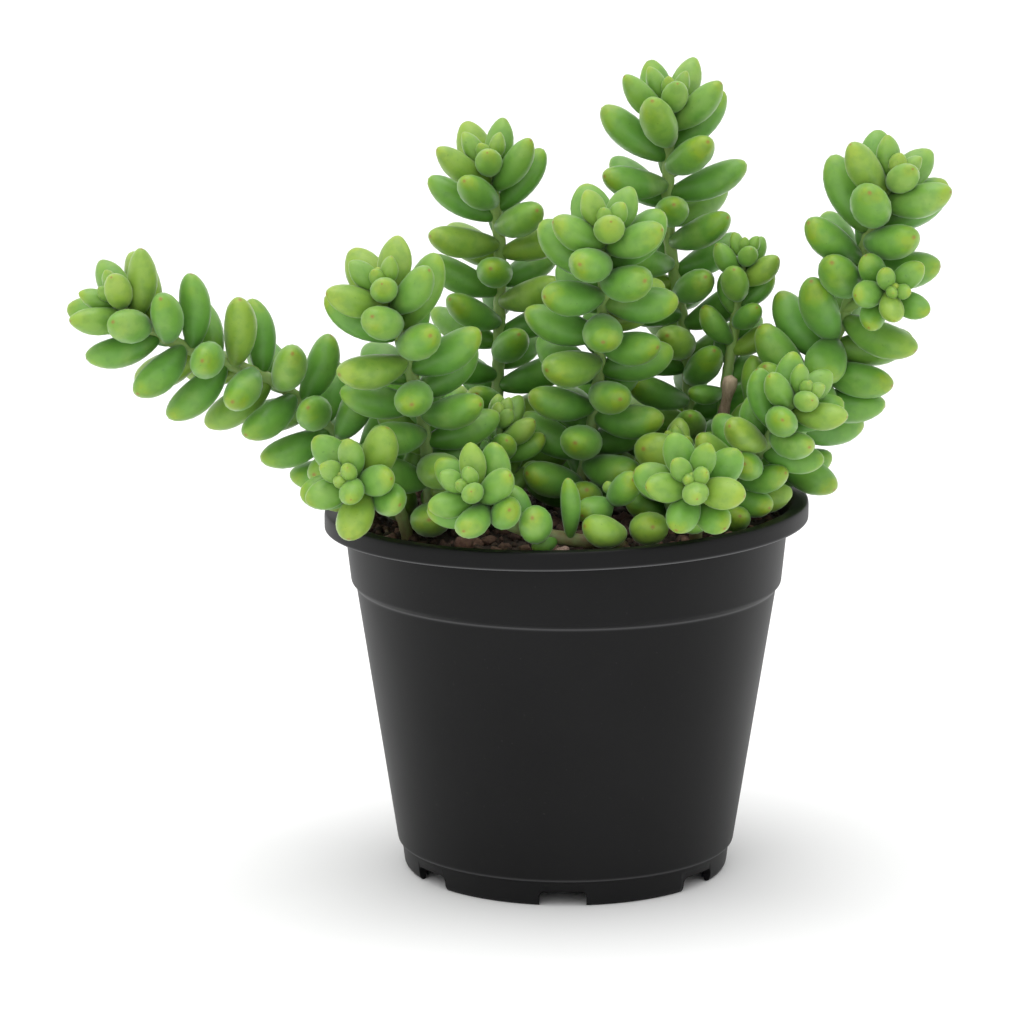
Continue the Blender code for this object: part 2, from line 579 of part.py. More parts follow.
# Pumice lumps on the soil
for name, ((x, y), size) in PUMICE_LUMPS.items():
    lump = bmesh.new()
    bmesh.ops.create_icosphere(lump, subdivisions=1, radius=0.5)
    points = np.array([v.co[:] for v in lump.verts]) * LUMP_SHAPE * size
    faces = [tuple(v.index for v in face.verts) for face in lump.faces]
    lump.free()
    points *= rng.uniform(0.85, 1.1, (len(points), 1))
    points += (x, y, SOIL_TOP + 0.2 - points[:, 2].min())
    node(name, points, faces, pumice, smooth=20)
    placed.append(np.array([(x, y, SOIL_TOP + CLEAR + size * LUMP_REACH)]))
    placed_radius.append(np.array([size * LUMP_REACH]))

# Shoots
grown = {}
for seed, (name, spec) in enumerate(SHOOTS.items()):
    others = np.vstack([*placed, *[route for other, route in stems.items() if other != name]])
    radii = np.concatenate([*placed_radius, *[np.full(len(route), SHOOTS[other]["stem"] + CLEAR)
                                               for other, route in stems.items() if other != name]])
    grown[name] = settle(grow(spec, FIRST_SEED + seed), others, radii)
    centre, radius = leaf_balls(grown[name])
    placed.append(centre.reshape(-1, 3))
    placed_radius.append(radius.reshape(-1))


def shoot_shapes(name):
    """The stem, bud and leaves of one shoot."""
    leaf = grown[name]
    held = {key: value[leaf["order"] >= BUD_LEAVES] for key, value in leaf.items()}
    return [stem_shape(SHOOTS[name]), bud_shape(SHOOTS[name]), *leaf_shapes(held)]


for name in SHOOTS:
    if name == "side_rosette":
        continue
    shapes = shoot_shapes(name)
    if name == "shoot_right":
        shapes += shoot_shapes("side_rosette")
    grown_together(name, shapes, young_green if name.startswith("rosette") else green)
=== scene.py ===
import bpy
import numpy as np
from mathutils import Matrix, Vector


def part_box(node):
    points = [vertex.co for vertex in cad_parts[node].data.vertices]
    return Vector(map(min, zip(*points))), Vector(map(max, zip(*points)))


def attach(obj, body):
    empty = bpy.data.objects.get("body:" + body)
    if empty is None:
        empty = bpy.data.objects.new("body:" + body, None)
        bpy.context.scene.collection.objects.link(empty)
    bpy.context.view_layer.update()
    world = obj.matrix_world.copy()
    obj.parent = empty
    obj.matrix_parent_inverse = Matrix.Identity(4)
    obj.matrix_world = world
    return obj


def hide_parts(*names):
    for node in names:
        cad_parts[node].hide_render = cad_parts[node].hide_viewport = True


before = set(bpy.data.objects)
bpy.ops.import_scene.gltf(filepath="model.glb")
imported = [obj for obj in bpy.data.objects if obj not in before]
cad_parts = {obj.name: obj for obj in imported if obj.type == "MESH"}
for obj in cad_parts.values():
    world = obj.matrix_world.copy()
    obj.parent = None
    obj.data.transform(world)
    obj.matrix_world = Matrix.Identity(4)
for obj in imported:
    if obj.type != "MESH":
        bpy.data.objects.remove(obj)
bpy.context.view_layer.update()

MM = 0.001


# The pot: a 13 cm nursery pot, one thin piece of black polypropylene, injection moulded. It has a rolled rim,
# a band under it that ends in a shoulder, a plain body that narrows downward, and a foot with notches that
# let water out. The rim of such a thin pot is easily pulled out of level, and this one's is.

FOOT, FOOT_STEP = 43.9, 7.2
BODY_BOTTOM, BODY_TOP, SHOULDER = 45.6, 56.6, 77.8
BAND_BOTTOM, BAND_TOP = 57.9, 59.6
RIM, RIM_INNER, RIM_UNDERSIDE, RIM_TOP, RIM_TILT = 65.0, 61.2, 95.1, 100.0, 1.7
WALL, FLOOR, STAND, RECESS = 1.2, 1.5, 24.0, 3.0
POT_SIDES = 192


def closed_faces(rings, sides):
    """Faces of a tube of rings closed by a pole at each end: quads between rings, triangles at the poles.

    Point 0 is the first pole, then come the rings one after another, and the last point is the other pole.
    """
    i, j = np.meshgrid(np.arange(rings - 1), np.arange(sides), indexing="ij")
    k = (j + 1) % sides
    quads = 1 + np.stack([i * sides + j, i * sides + k, (i + 1) * sides + k, (i + 1) * sides + j], -1)
    j = np.arange(sides)
    k = (j + 1) % sides
    first = np.stack([0 * j, 1 + k, 1 + j], -1)
    end = 1 + (rings - 1) * sides
    last = np.stack([end + j, end + k, 0 * j + rings * sides + 1], -1)
    return quads.reshape(-1, 4), np.vstack([first, last])


def piece(name, points, quads, triangles, look, values=None):
    """A mesh object from points in millimetres, riding on the pot and shaded smooth.

    values holds numbers given to each point, such as how far along a leaf it lies.
    """
    mesh = bpy.data.meshes.new(name)
    mesh.from_pydata((np.asarray(points) * MM).tolist(), [], quads.tolist() + triangles.tolist())
    mesh.update()
    mesh.shade_smooth()
    for key, numbers in (values or {}).items():
        mesh.attributes.new(key, "FLOAT", "POINT").data.foreach_set("value", np.asarray(numbers, np.float32))
    mesh.materials.append(look)
    made = bpy.data.objects.new(name, mesh)
    bpy.context.scene.collection.objects.link(made)
    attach(made, "root")
    return made


def rounded(points, radius, steps=4):
    """A profile with its corners rounded: each corner P becomes a parabola from P - a to P + b.

    a and b lie on the two edges, at most radius and at most half the edge away. The curve is
    (1-t)^2 A + 2t(1-t) P + t^2 B.
    """
    p = np.array(points, float)
    before, after = p[:-2] - p[1:-1], p[2:] - p[1:-1]
    la, lb = np.linalg.norm(before, axis=1), np.linalg.norm(after, axis=1)
    start = p[1:-1] + before * (np.minimum(radius, 0.5 * la) / la)[:, None]
    stop = p[1:-1] + after * (np.minimum(radius, 0.5 * lb) / lb)[:, None]
    t = np.linspace(0, 1, steps)[None, :, None]
    curve = (1 - t)**2 * start[:, None] + 2 * t * (1 - t) * p[1:-1, None] + t**2 * stop[:, None]
    return np.vstack([p[:1], curve.reshape(-1, 2), p[-1:]])


def turned(profile, sides):
    """A profile of (radius, height) turned about Z: x = r sin a, y = -r cos a. Its ends are on the axis."""
    angle = 2 * np.pi * np.arange(sides) / sides
    r, z = profile[1:-1, :1], profile[1:-1, 1:]
    rings = np.stack([r * np.sin(angle), -r * np.cos(angle), z + 0 * angle], -1).reshape(-1, 3)
    return np.vstack([[(0, 0, profile[0, 1])], rings, [(0, 0, profile[-1, 1])]])


def tilted(points):
    """Lifts the band and rim toward +X in proportion to x, more the higher they are."""
    points = points.copy()
    share = np.clip((points[:, 2] - SHOULDER - 4) / (RIM_TOP - SHOULDER - 8), 0, 1)
    points[:, 2] += RIM_TILT * share * points[:, 0] / RIM
    return points


def plastic_look():
    """Matte black polypropylene: fine moulded grain, faint flow clouds, dust specks, painted edge highlights.
    """
    look = bpy.data.materials.new("black_plastic")
    look.use_nodes = True
    tree, link = look.node_tree, look.node_tree.links.new
    shader = tree.nodes["Principled BSDF"]
    place = tree.nodes.new("ShaderNodeTexCoord").outputs["Object"]
    cloud = tree.nodes.new("ShaderNodeTexNoise")
    cloud.inputs["Scale"].default_value = 26
    cloud.inputs["Detail"].default_value = 5
    link(place, cloud.inputs["Vector"])
    shade = tree.nodes.new("ShaderNodeValToRGB")
    dark, light = shade.color_ramp.elements
    dark.position, dark.color = 0.3, (0.0050, 0.0050, 0.0053, 1)
    light.position, light.color = 0.75, (0.0080, 0.0080, 0.0084, 1)
    link(cloud.outputs["Fac"], shade.inputs["Fac"])
    dust = tree.nodes.new("ShaderNodeTexNoise")
    dust.inputs["Scale"].default_value = 900
    dust.inputs["Detail"].default_value = 2
    link(place, dust.inputs["Vector"])
    specks = tree.nodes.new("ShaderNodeMapRange")
    specks.inputs["From Min"].default_value, specks.inputs["From Max"].default_value = 0.70, 0.80
    specks.inputs["To Max"].default_value = 0.12
    link(dust.outputs["Fac"], specks.inputs["Value"])
    dusty = tree.nodes.new("ShaderNodeMix")
    dusty.data_type = "RGBA"
    dusty.inputs["B"].default_value = (0.075, 0.072, 0.068, 1)
    link(specks.outputs["Result"], dusty.inputs["Factor"])
    link(shade.outputs["Color"], dusty.inputs["A"])
    # The attribute edge marks thin rings on the rim's lower edge, the shoulder and the foot step; mixing them
    # to grey paints a highlight.
    painted_highlight_rings = tree.nodes.new("ShaderNodeAttribute")
    painted_highlight_rings.attribute_name = "edge"
    edge = tree.nodes.new("ShaderNodeMix")
    edge.data_type = "RGBA"
    edge.inputs["B"].default_value = (0.16, 0.16, 0.165, 1)
    link(painted_highlight_rings.outputs["Fac"], edge.inputs["Factor"])
    link(dusty.outputs["Result"], edge.inputs["A"])
    link(edge.outputs["Result"], shader.inputs["Base Color"])
    gloss = tree.nodes.new("ShaderNodeMapRange")
    gloss.inputs["To Min"].default_value, gloss.inputs["To Max"].default_value = 0.40, 0.54
    link(cloud.outputs["Fac"], gloss.inputs["Value"])
    link(gloss.outputs["Result"], shader.inputs["Roughness"])
    grain = tree.nodes.new("ShaderNodeTexNoise")
    grain.inputs["Scale"].default_value = 2600
    grain.inputs["Detail"].default_value = 2
    link(place, grain.inputs["Vector"])
    bump = tree.nodes.new("ShaderNodeBump")
    bump.inputs["Strength"].default_value = 0.22
    bump.inputs["Distance"].default_value = 0.00006
    link(grain.outputs["Fac"], bump.inputs["Height"])
    link(bump.outputs["Normal"], shader.inputs["Normal"])
    shader.inputs["Specular IOR Level"].default_value = 0.14
    return look


outside = rounded([(0, 0), (STAND, 0), (STAND + 1.2, RECESS), (FOOT - 2.4, RECESS), (FOOT - 1.8, 0.2),
                   (FOOT - 1.4, 0), (FOOT - 0.7, 0), (FOOT, 1.0), (FOOT + 0.7, FOOT_STEP - 0.5),
                   (BODY_BOTTOM - 0.1, FOOT_STEP - 0.1), (BODY_BOTTOM + 0.12, FOOT_STEP + 0.5),
                   (BODY_TOP - 0.1, SHOULDER - 0.5), (BODY_TOP, SHOULDER), (BAND_BOTTOM, SHOULDER + 1.4),
                   (BAND_TOP, RIM_UNDERSIDE), (RIM - 0.35, RIM_UNDERSIDE)], 0.5)
rim = rounded([(RIM - 0.35, RIM_UNDERSIDE), (RIM - 0.05, RIM_UNDERSIDE - 0.05), (RIM, RIM_UNDERSIDE + 0.5),
               (RIM, RIM_TOP - 0.6), (RIM - 0.6, RIM_TOP), (RIM_INNER, RIM_TOP),
               (RIM_INNER - 1.2, RIM_TOP - 1.6), (BAND_TOP - WALL, RIM_UNDERSIDE - 1)], 1.4, 6)
inside = rounded([(BAND_TOP - WALL, RIM_UNDERSIDE - 1), (BAND_BOTTOM - WALL, SHOULDER + 2),
                  (BODY_TOP - WALL, SHOULDER - 0.4), (BODY_BOTTOM - WALL, FOOT_STEP),
                  (FOOT - 0.8, RECESS + FLOOR), (STAND + 1.5, RECESS + FLOOR), (STAND - 0.3, FLOOR),
                  (0, FLOOR)], 0.5)
wall = np.vstack([outside[:-1], rim[:-1], inside])
black_plastic = plastic_look()
pot_points = turned(wall, POT_SIDES)
wall_radius, wall_height = wall[1:-1, 0], wall[1:-1, 1]
# Painted highlight: thin lighter rings along the rim's lower edge, strongest there, and on the shoulder and
# the foot step.
highlight_ring_share = np.exp(-((np.hypot(wall_radius - RIM + 0.1, wall_height - RIM_UNDERSIDE)) / 0.30)**2) * 0.75
highlight_ring_share += np.exp(-((wall_radius - BODY_TOP) / 0.5)**2 - ((wall_height - SHOULDER) / 0.35)**2) * 0.35
highlight_ring_share += np.exp(-((wall_radius - BODY_BOTTOM) / 0.5)**2 - ((wall_height - FOOT_STEP) / 0.35)**2) * 0.3
pot = piece("pot_shell", tilted(pot_points), *closed_faces(len(wall) - 2, POT_SIDES), black_plastic,
            {"edge": np.concatenate([[0], np.repeat(highlight_ring_share, POT_SIDES), [0]])})


def notch_block(angle, width=12.4, height=4.0, corner=1.4):
    """A block whose outline is a slot with rounded upper corners, pushed out through the foot at an angle."""
    t = np.linspace(0, np.pi / 2, 6)
    right = np.stack([width / 2 - corner + corner * np.cos(t), height - corner + corner * np.sin(t)], -1)
    outline = np.vstack([[(-width / 2, -2), (width / 2, -2)], right, right[::-1] * (-1, 1)])
    a = np.radians(angle)
    out, side = np.array([np.sin(a), -np.cos(a), 0]), np.array([np.cos(a), np.sin(a), 0])
    slab = outline[:, :1] * side + outline[:, 1:] * (0, 0, 1)
    return np.stack([slab + (FOOT - 2.9) * out, slab + (FOOT + 4) * out])


def cut_through(target, blocks, name):
    """Cuts closed prisms out of a piece. Each block is its two end outlines, the first facing backward."""
    n = blocks[0].shape[1]
    j = np.arange(n)
    sides = np.stack([j, (j + 1) % n, n + (j + 1) % n, n + j], -1).tolist()
    faces = []
    for first in 2 * n * np.arange(len(blocks)):
        faces += [tuple(first + j[::-1]), tuple(first + n + j)]
        faces += [[v + first for v in side] for side in sides]
    mesh = bpy.data.meshes.new(name)
    mesh.from_pydata((np.concatenate(blocks).reshape(-1, 3) * MM).tolist(), [], faces)
    cutter = bpy.data.objects.new(name, mesh)
    bpy.context.scene.collection.objects.link(cutter)
    cut = target.modifiers.new(name, "BOOLEAN")
    cut.operation, cut.solver, cut.object = "DIFFERENCE", "EXACT", cutter
    graph = bpy.context.evaluated_depsgraph_get()
    target.data = bpy.data.meshes.new_from_object(target.evaluated_get(graph), depsgraph=graph)
    target.modifiers.clear()
    bpy.data.objects.remove(cutter)


NOTCH_ANGLES = (-1.6, 53.1, 103.4, 153.7, 204.0, 254.2, 304.5)
cut_through(pot, [notch_block(angle) for angle in NOTCH_ANGLES], "notches")


def drain_block(angle, circle=33.0, radius=3.5):
    """An upright round bar through the raised ring of the floor, as its lower and upper outline."""
    a, t = np.radians(angle), 2 * np.pi * np.arange(24) / 24
    across, forward = circle * np.sin(a) + radius * np.cos(t), -circle * np.cos(a) + radius * np.sin(t)
    disc = np.stack([across, forward, 0 * t], -1)
    return np.stack([disc + (0, 0, -1), disc + (0, 0, 6)])


cut_through(pot, [drain_block(angle) for angle in NOTCH_ANGLES], "drains")
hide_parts("pot")


# The potting mix: a gritty cactus mix of dark humus, crumbs of red-brown lava and bark, and pale pumice. It
# fills the pot to just under the rim, loose and uneven on top. The plug below is hidden by the pot.

SOIL_TOP, SOIL_DIP, SOIL_GAP = 96.0, 0.7, 0.3
SOIL_RINGS, SOIL_SIDES = 60, 160


def soft_noise(x, y, size, seed):
    """A smooth uneven height near -1 to 1: 1.6 times the mean of eight cosine waves of random direction."""
    rng = np.random.default_rng(seed)
    turn, phase = rng.uniform(0, 2 * np.pi, (2, 8))
    stretch = rng.uniform(0.7, 1.6, 8) * 2 * np.pi / size
    wave = np.multiply.outer(x, np.cos(turn) * stretch) + np.multiply.outer(y, np.sin(turn) * stretch) + phase
    return np.cos(wave).mean(-1) * 1.6


def earth_look(name, dark, light, size):
    """Crumbly earth: dark to light in grains of a size in millimetres, rough, with a strong bump."""
    look = bpy.data.materials.new(name)
    look.use_nodes = True
    tree, link = look.node_tree, look.node_tree.links.new
    shader = tree.nodes["Principled BSDF"]
    place = tree.nodes.new("ShaderNodeTexCoord").outputs["Object"]
    noise = tree.nodes.new("ShaderNodeTexNoise")
    noise.inputs["Scale"].default_value = 1000 / size
    noise.inputs["Detail"].default_value = 6
    noise.inputs["Roughness"].default_value = 0.7
    link(place, noise.inputs["Vector"])
    tone = tree.nodes.new("ShaderNodeAttribute")
    tone.attribute_name = "tone"
    mixed = tree.nodes.new("ShaderNodeMath")
    mixed.operation = "MULTIPLY_ADD"
    mixed.inputs[1].default_value = 0.75
    link(tone.outputs["Fac"], mixed.inputs[0])
    shifted = tree.nodes.new("ShaderNodeMapRange")
    shifted.inputs["From Min"].default_value, shifted.inputs["From Max"].default_value = 0.3, 0.75
    shifted.inputs["To Min"].default_value, shifted.inputs["To Max"].default_value = -0.15, 0.45
    shifted.clamp = False
    link(noise.outputs["Fac"], shifted.inputs["Value"])
    link(shifted.outputs["Result"], mixed.inputs[2])
    ramp = tree.nodes.new("ShaderNodeValToRGB")
    ramp.color_ramp.elements[0].position, ramp.color_ramp.elements[0].color = 0.0, (*dark, 1)
    ramp.color_ramp.elements[1].position, ramp.color_ramp.elements[1].color = 1.0, (*light, 1)
    link(mixed.outputs["Value"], ramp.inputs["Fac"])
    link(ramp.outputs["Color"], shader.inputs["Base Color"])
    shader.inputs["Roughness"].default_value = 0.92
    bump = tree.nodes.new("ShaderNodeBump")
    bump.inputs["Strength"].default_value = 0.8
    bump.inputs["Distance"].default_value = 0.0004
    link(noise.outputs["Fac"], bump.inputs["Height"])
    link(bump.outputs["Normal"], shader.inputs["Normal"])
    return look


humus = earth_look("humus", (0.008, 0.005, 0.0035), (0.060, 0.034, 0.022), 1.3)
SOIL_EDGE = BAND_TOP - WALL - SOIL_GAP
soil_wall = np.array([(0, FLOOR + SOIL_GAP), (STAND - 0.8, FLOOR + SOIL_GAP),
                      (STAND + 1.3, RECESS + FLOOR + SOIL_GAP), (FOOT - 1.3, RECESS + FLOOR + SOIL_GAP),
                      (BODY_BOTTOM - WALL - SOIL_GAP, FOOT_STEP + 0.3),
                      (BODY_TOP - WALL - SOIL_GAP, SHOULDER + 0.4),
                      (BAND_BOTTOM - WALL - SOIL_GAP, SHOULDER + 2.9), (SOIL_EDGE - 0.1, SOIL_TOP - 2)])
soil_level = SOIL_TOP - SOIL_DIP
soil_top = np.stack([np.linspace(SOIL_EDGE, 0.6, SOIL_RINGS), np.full(SOIL_RINGS, soil_level)], -1)
soil_profile = np.vstack([soil_wall, soil_top, [(0, soil_level)]])
soil_points = turned(soil_profile, SOIL_SIDES)
on_top = soil_points[:, 2] > SOIL_TOP - 1
x, y = soil_points[on_top, 0], soil_points[on_top, 1]
soil_points[on_top, 2] += (0.55 * soft_noise(x, y, 17, 1) + 0.35 * soft_noise(x, y, 5.5, 2)
                           + 0.3 * soft_noise(x, y, 2.2, 3))
soil_tone = 0.3 + 0.25 * soft_noise(soil_points[:, 0], soil_points[:, 1], 6, 4)
soil = piece("soil_surface", soil_points, *closed_faces(len(soil_profile) - 2, SOIL_SIDES), humus,
             {"tone": soil_tone})
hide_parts("soil")


def crumbs(centres, sizes, seed, rings=4, sides=7):
    """Uneven lumps: each a ball of a few rings, its radius scaled by random numbers, squashed and turned.

    Returns the points, faces and lump number of every point. A point at angle a on ring t of a lump of size s
    is at s (sin t cos a, sin t sin a, cos t) times 1 plus up to a quarter either way.
    """
    rng = np.random.default_rng(seed)
    n = len(centres)
    t = np.concatenate([[0], np.repeat(np.pi * (np.arange(rings) + 1) / (rings + 1), sides), [np.pi]])
    a = np.concatenate([[0], np.tile(2 * np.pi * np.arange(sides) / sides, rings), [0]])
    ball = np.stack([np.sin(t) * np.cos(a), np.sin(t) * np.sin(a), -np.cos(t)], -1)
    lump = ball[None] * (1 + rng.uniform(-0.26, 0.26, (n, len(t), 1)))
    lump = lump * rng.uniform(0.65, 1.1, (n, 1, 3)) * (np.asarray(sizes) / 2)[:, None, None]
    turn = np.linalg.qr(rng.normal(size=(n, 3, 3)))[0]
    turn = turn * np.sign(np.linalg.det(turn))[:, None, None]
    points = np.einsum("nij,nkj->nki", turn, lump) + np.asarray(centres)[:, None]
    quads, triangles = closed_faces(rings, sides)
    shift = (np.arange(n) * len(t))[:, None, None]
    number = np.repeat(np.arange(n), len(t))
    faces = (quads + shift).reshape(-1, 4), (triangles + shift).reshape(-1, 3)
    return points.reshape(-1, 3), *faces, number


def scattered(count, seed, edge):
    """Places scattered evenly over a disc: radius = edge times the root of a random share."""
    rng = np.random.default_rng(seed)
    r, a = edge * np.sqrt(rng.uniform(0.01, 1, count)), rng.uniform(0, 2 * np.pi, count)
    return np.stack([r * np.sin(a), -r * np.cos(a)], -1), rng


EARTHS = {
    "humus_crumbs": (1500, 11, (1.0, 2.8), (0.009, 0.006, 0.004), (0.070, 0.040, 0.026), "soil"),
    "lava_crumbs": (420, 12, (2.2, 5.0), (0.020, 0.011, 0.008), (0.19, 0.105, 0.072), "soil"),
    "pale_crumbs": (70, 13, (1.4, 3.0), (0.11, 0.065, 0.048), (0.46, 0.34, 0.27), "pumice"),
}
for name, (count, seed, (least, most), dark, light, slot) in EARTHS.items():
    spot, rng = scattered(count, seed, SOIL_EDGE - most / 2)
    size = least + (most - least) * rng.uniform(0, 1, count)**2
    sunk = soil_level + size * rng.uniform(-0.12, 0.30, count)
    points, quads, triangles, number = crumbs(np.column_stack([spot, sunk]), size, seed)
    heap = piece(name, points, quads, triangles, earth_look(name, dark, light, 0.9),
                 {"tone": rng.uniform(0, 1, count)[number]})


# Eight larger lumps of pumice and lava grit that lie loose on top of the mix, rounded by sieving, pale to
# red-brown with a porous broken skin.

PUMICE_SPOTS = {
    "pumice_1": ((-1.6, -55.4), 4.6, (0.34, 0.23, 0.18)),
    "pumice_2": ((-27.0, -46.0), 5.0, (0.16, 0.08, 0.055)),
    "pumice_3": ((27.2, -48.1), 4.4, (0.13, 0.07, 0.05)),
    "pumice_4": ((42.0, -38.0), 4.2, (0.20, 0.11, 0.08)),
    "pumice_5": ((-50.0, 2.0), 4.6, (0.15, 0.08, 0.055)),
    "pumice_6": ((20.0, 30.0), 5.2, (0.30, 0.22, 0.17)),
    "pumice_7": ((-22.0, 50.0), 4.4, (0.17, 0.09, 0.06)),
    "pumice_8": ((52.0, 20.0), 5.0, (0.32, 0.24, 0.19)),
}


def porous_look(name, colour):
    """Broken pumice: colour mottled darker and lighter in grains, with a pitted bump from small round cells.
    """
    look = earth_look(name, tuple(0.35 * c for c in colour), tuple(1.25 * c for c in colour), 1.1)
    tree, link = look.node_tree, look.node_tree.links.new
    place = tree.nodes.new("ShaderNodeTexCoord").outputs["Object"]
    pores = tree.nodes.new("ShaderNodeTexVoronoi")
    pores.inputs["Scale"].default_value = 1900
    link(place, pores.inputs["Vector"])
    pitted = tree.nodes.new("ShaderNodeBump")
    pitted.inputs["Strength"].default_value = 0.7
    pitted.inputs["Distance"].default_value = 0.0003
    link(pores.outputs["Distance"], pitted.inputs["Height"])
    earlier = tree.nodes["Principled BSDF"].inputs["Normal"].links[0].from_node
    link(earlier.outputs["Normal"], pitted.inputs["Normal"])
    link(pitted.outputs["Normal"], tree.nodes["Principled BSDF"].inputs["Normal"])
    return look


for seed, (name, (spot, size, colour)) in enumerate(PUMICE_SPOTS.items()):
    low, high = (np.array(corner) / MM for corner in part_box(name))
    middle = (low + high) / 2 - (0, 0, 0.5)
    points, quads, triangles, _ = crumbs([middle], [size * 1.15], 40 + seed, 7, 12)
    lump = piece(name + "_lump", points, quads, triangles, porous_look(name + "_grit", colour),
                 {"tone": np.full(len(points), 0.5)})
    rounding = lump.modifiers.new("rounding", "SUBSURF")
    rounding.levels = rounding.render_levels = 1
    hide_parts(name)


# The stems: soft green shoots 3 to 4 mm thick that root in the mix, lean outward as they get heavy and turn
# up at their tips. Old stem near the soil is bare, tan and corky. The side shoot branches from the right one.

STEM_SIDES, STEM_STEP, KNUCKLE_STEP, GREEN_BY = 12, 1.3, 3.4, 60
STEMS = {
    "shoot_trailing": ([(-36, -6, 86), (-44, -7, 100), (-59, -8, 117), (-76, -13, 134), (-95, -20, 143),
                        (-109, -26, 151), (-118, -30, 160)], 1.7),
    "shoot_left": ([(-33, -20, 86), (-36, -22, 104), (-38, -27, 128), (-43, -33, 148), (-48, -41, 165.5)],
                   1.7),
    "shoot_back_left": ([(-18, 18, 86), (-19, 20, 106), (-18, 22, 146), (-18, 20, 168), (-21, 13, 191)], 1.7),
    "shoot_centre": ([(2, -6, 86), (3, -6, 101), (7, -9, 124), (9, -14, 148), (10, -29, 179.5)], 1.7),
    "shoot_tall": ([(34, 20, 86), (34, 22, 104), (33, 26, 137), (28, 27, 170), (28, 19, 207)], 1.7),
    "shoot_right": ([(44, 4, 86), (50, 5, 104), (62, 4, 125), (73, 0, 148), (79, -6, 171),
                     (86, -13, 190.5)], 1.7),
    "side_rosette": ([(74, -1, 152), (78, -6, 155.5), (82, -13, 158), (84.5, -24, 161)], 1.3),
    "shoot_small": ([(40, 12, 86), (42, 14, 118), (45, 14, 142), (48, 10, 167)], 1.5),
    "shoot_low_right": ([(38, -16, 86), (44, -22, 107), (52, -30, 122), (61, -40, 137)], 1.7),
    "rosette_left": ([(-40, -26, 86), (-44, -32, 104), (-51, -43, 112), (-57, -54, 117)], 1.7),
    "rosette_front": ([(20, -43, 86), (13, -46, 98), (3, -49, 99.5), (-12, -53, 103.5), (-21, -57.5, 110),
                       (-26, -64, 117)], 1.8),
    "rosette_right": ([(33, -34, 86), (33, -42, 105), (32, -51, 111), (31, -63, 118.5)], 1.7),
    "shoot_inner_left": ([(-16, -12, 86), (-17, -13, 106), (-18, -15, 126)], 1.7),
    "shoot_inner_right": ([(28, -14, 86), (28, -16, 104), (28.5, -19, 119)], 1.7),
    "sprout_front": ([(9, -33, 86), (9.5, -36, 98), (11, -38.5, 110.5)], 1.7),
    "rosette_back": ([(6, 38, 86), (8, 44, 103), (9, 54, 112), (9, 64, 117)], 1.7),
    "rosette_back_left": ([(-28, 32, 86), (-33, 38, 104), (-41, 48, 115), (-47, 57, 121)], 1.7),
    "rosette_back_right": ([(32, 38, 86), (36, 44, 103), (44, 53, 110), (52, 60, 112)], 1.7),
}


def unit(v):
    """Vectors scaled to length one."""
    return v / np.linalg.norm(v, axis=-1, keepdims=True)


def smooth_route(points, steps=24):
    """A Catmull-Rom curve through the points, with both ends mirrored."""
    p = np.array(points, float)
    p = np.vstack([2 * p[0] - p[1], p, 2 * p[-1] - p[-2]])
    t = np.linspace(0, 1, steps, endpoint=False)[:, None]
    spans = [0.5 * (2 * b + (c - a) * t + (2 * a - 5 * b + 4 * c - d) * t**2 + (3 * b - a - 3 * c + d) * t**3)
             for a, b, c, d in zip(p, p[1:], p[2:], p[3:])]
    return np.vstack([*spans, p[-2][None]])


def frames(route):
    """The length along a route, its direction, and a side direction carried along it without twist."""
    arc = np.concatenate([[0], np.cumsum(np.linalg.norm(np.diff(route, axis=0), axis=1))])
    along = unit(np.gradient(route, arc, axis=0))
    side = unit(np.cross(along[0], (1.0, 0, 0)))
    sides = [side]
    for direction in along[1:]:
        side = unit(side - direction * (side @ direction))
        sides.append(side)
    return arc, along, np.array(sides)


def at(values, arc, s):
    """Values read along the route at the lengths s."""
    return np.stack([np.interp(s, arc, values[:, i]) for i in range(3)], axis=-1)


def stem_radius(radius, back):
    """The stem's radius at a length back from its tip: it narrows to 0.45 of itself over the last 14 mm."""
    return radius * (0.45 + 0.55 * np.clip(back / 14, 0, 1))


def bar(route, radii, sides):
    """A round bar along a route: each point is the route's plus r (n cos a + b sin a), closed by poles."""
    arc, along, across = frames(route)
    third = np.cross(along, across)
    a = 2 * np.pi * np.arange(sides) / sides
    ring = np.cos(a)[None, :, None] * across[:, None] + np.sin(a)[None, :, None] * third[:, None]
    points = (route[:, None] + np.asarray(radii)[:, None, None] * ring).reshape(-1, 3)
    return np.vstack([route[:1] - along[0] * 0.2, points, route[-1:] + along[-1] * radii[-1] * 0.5])


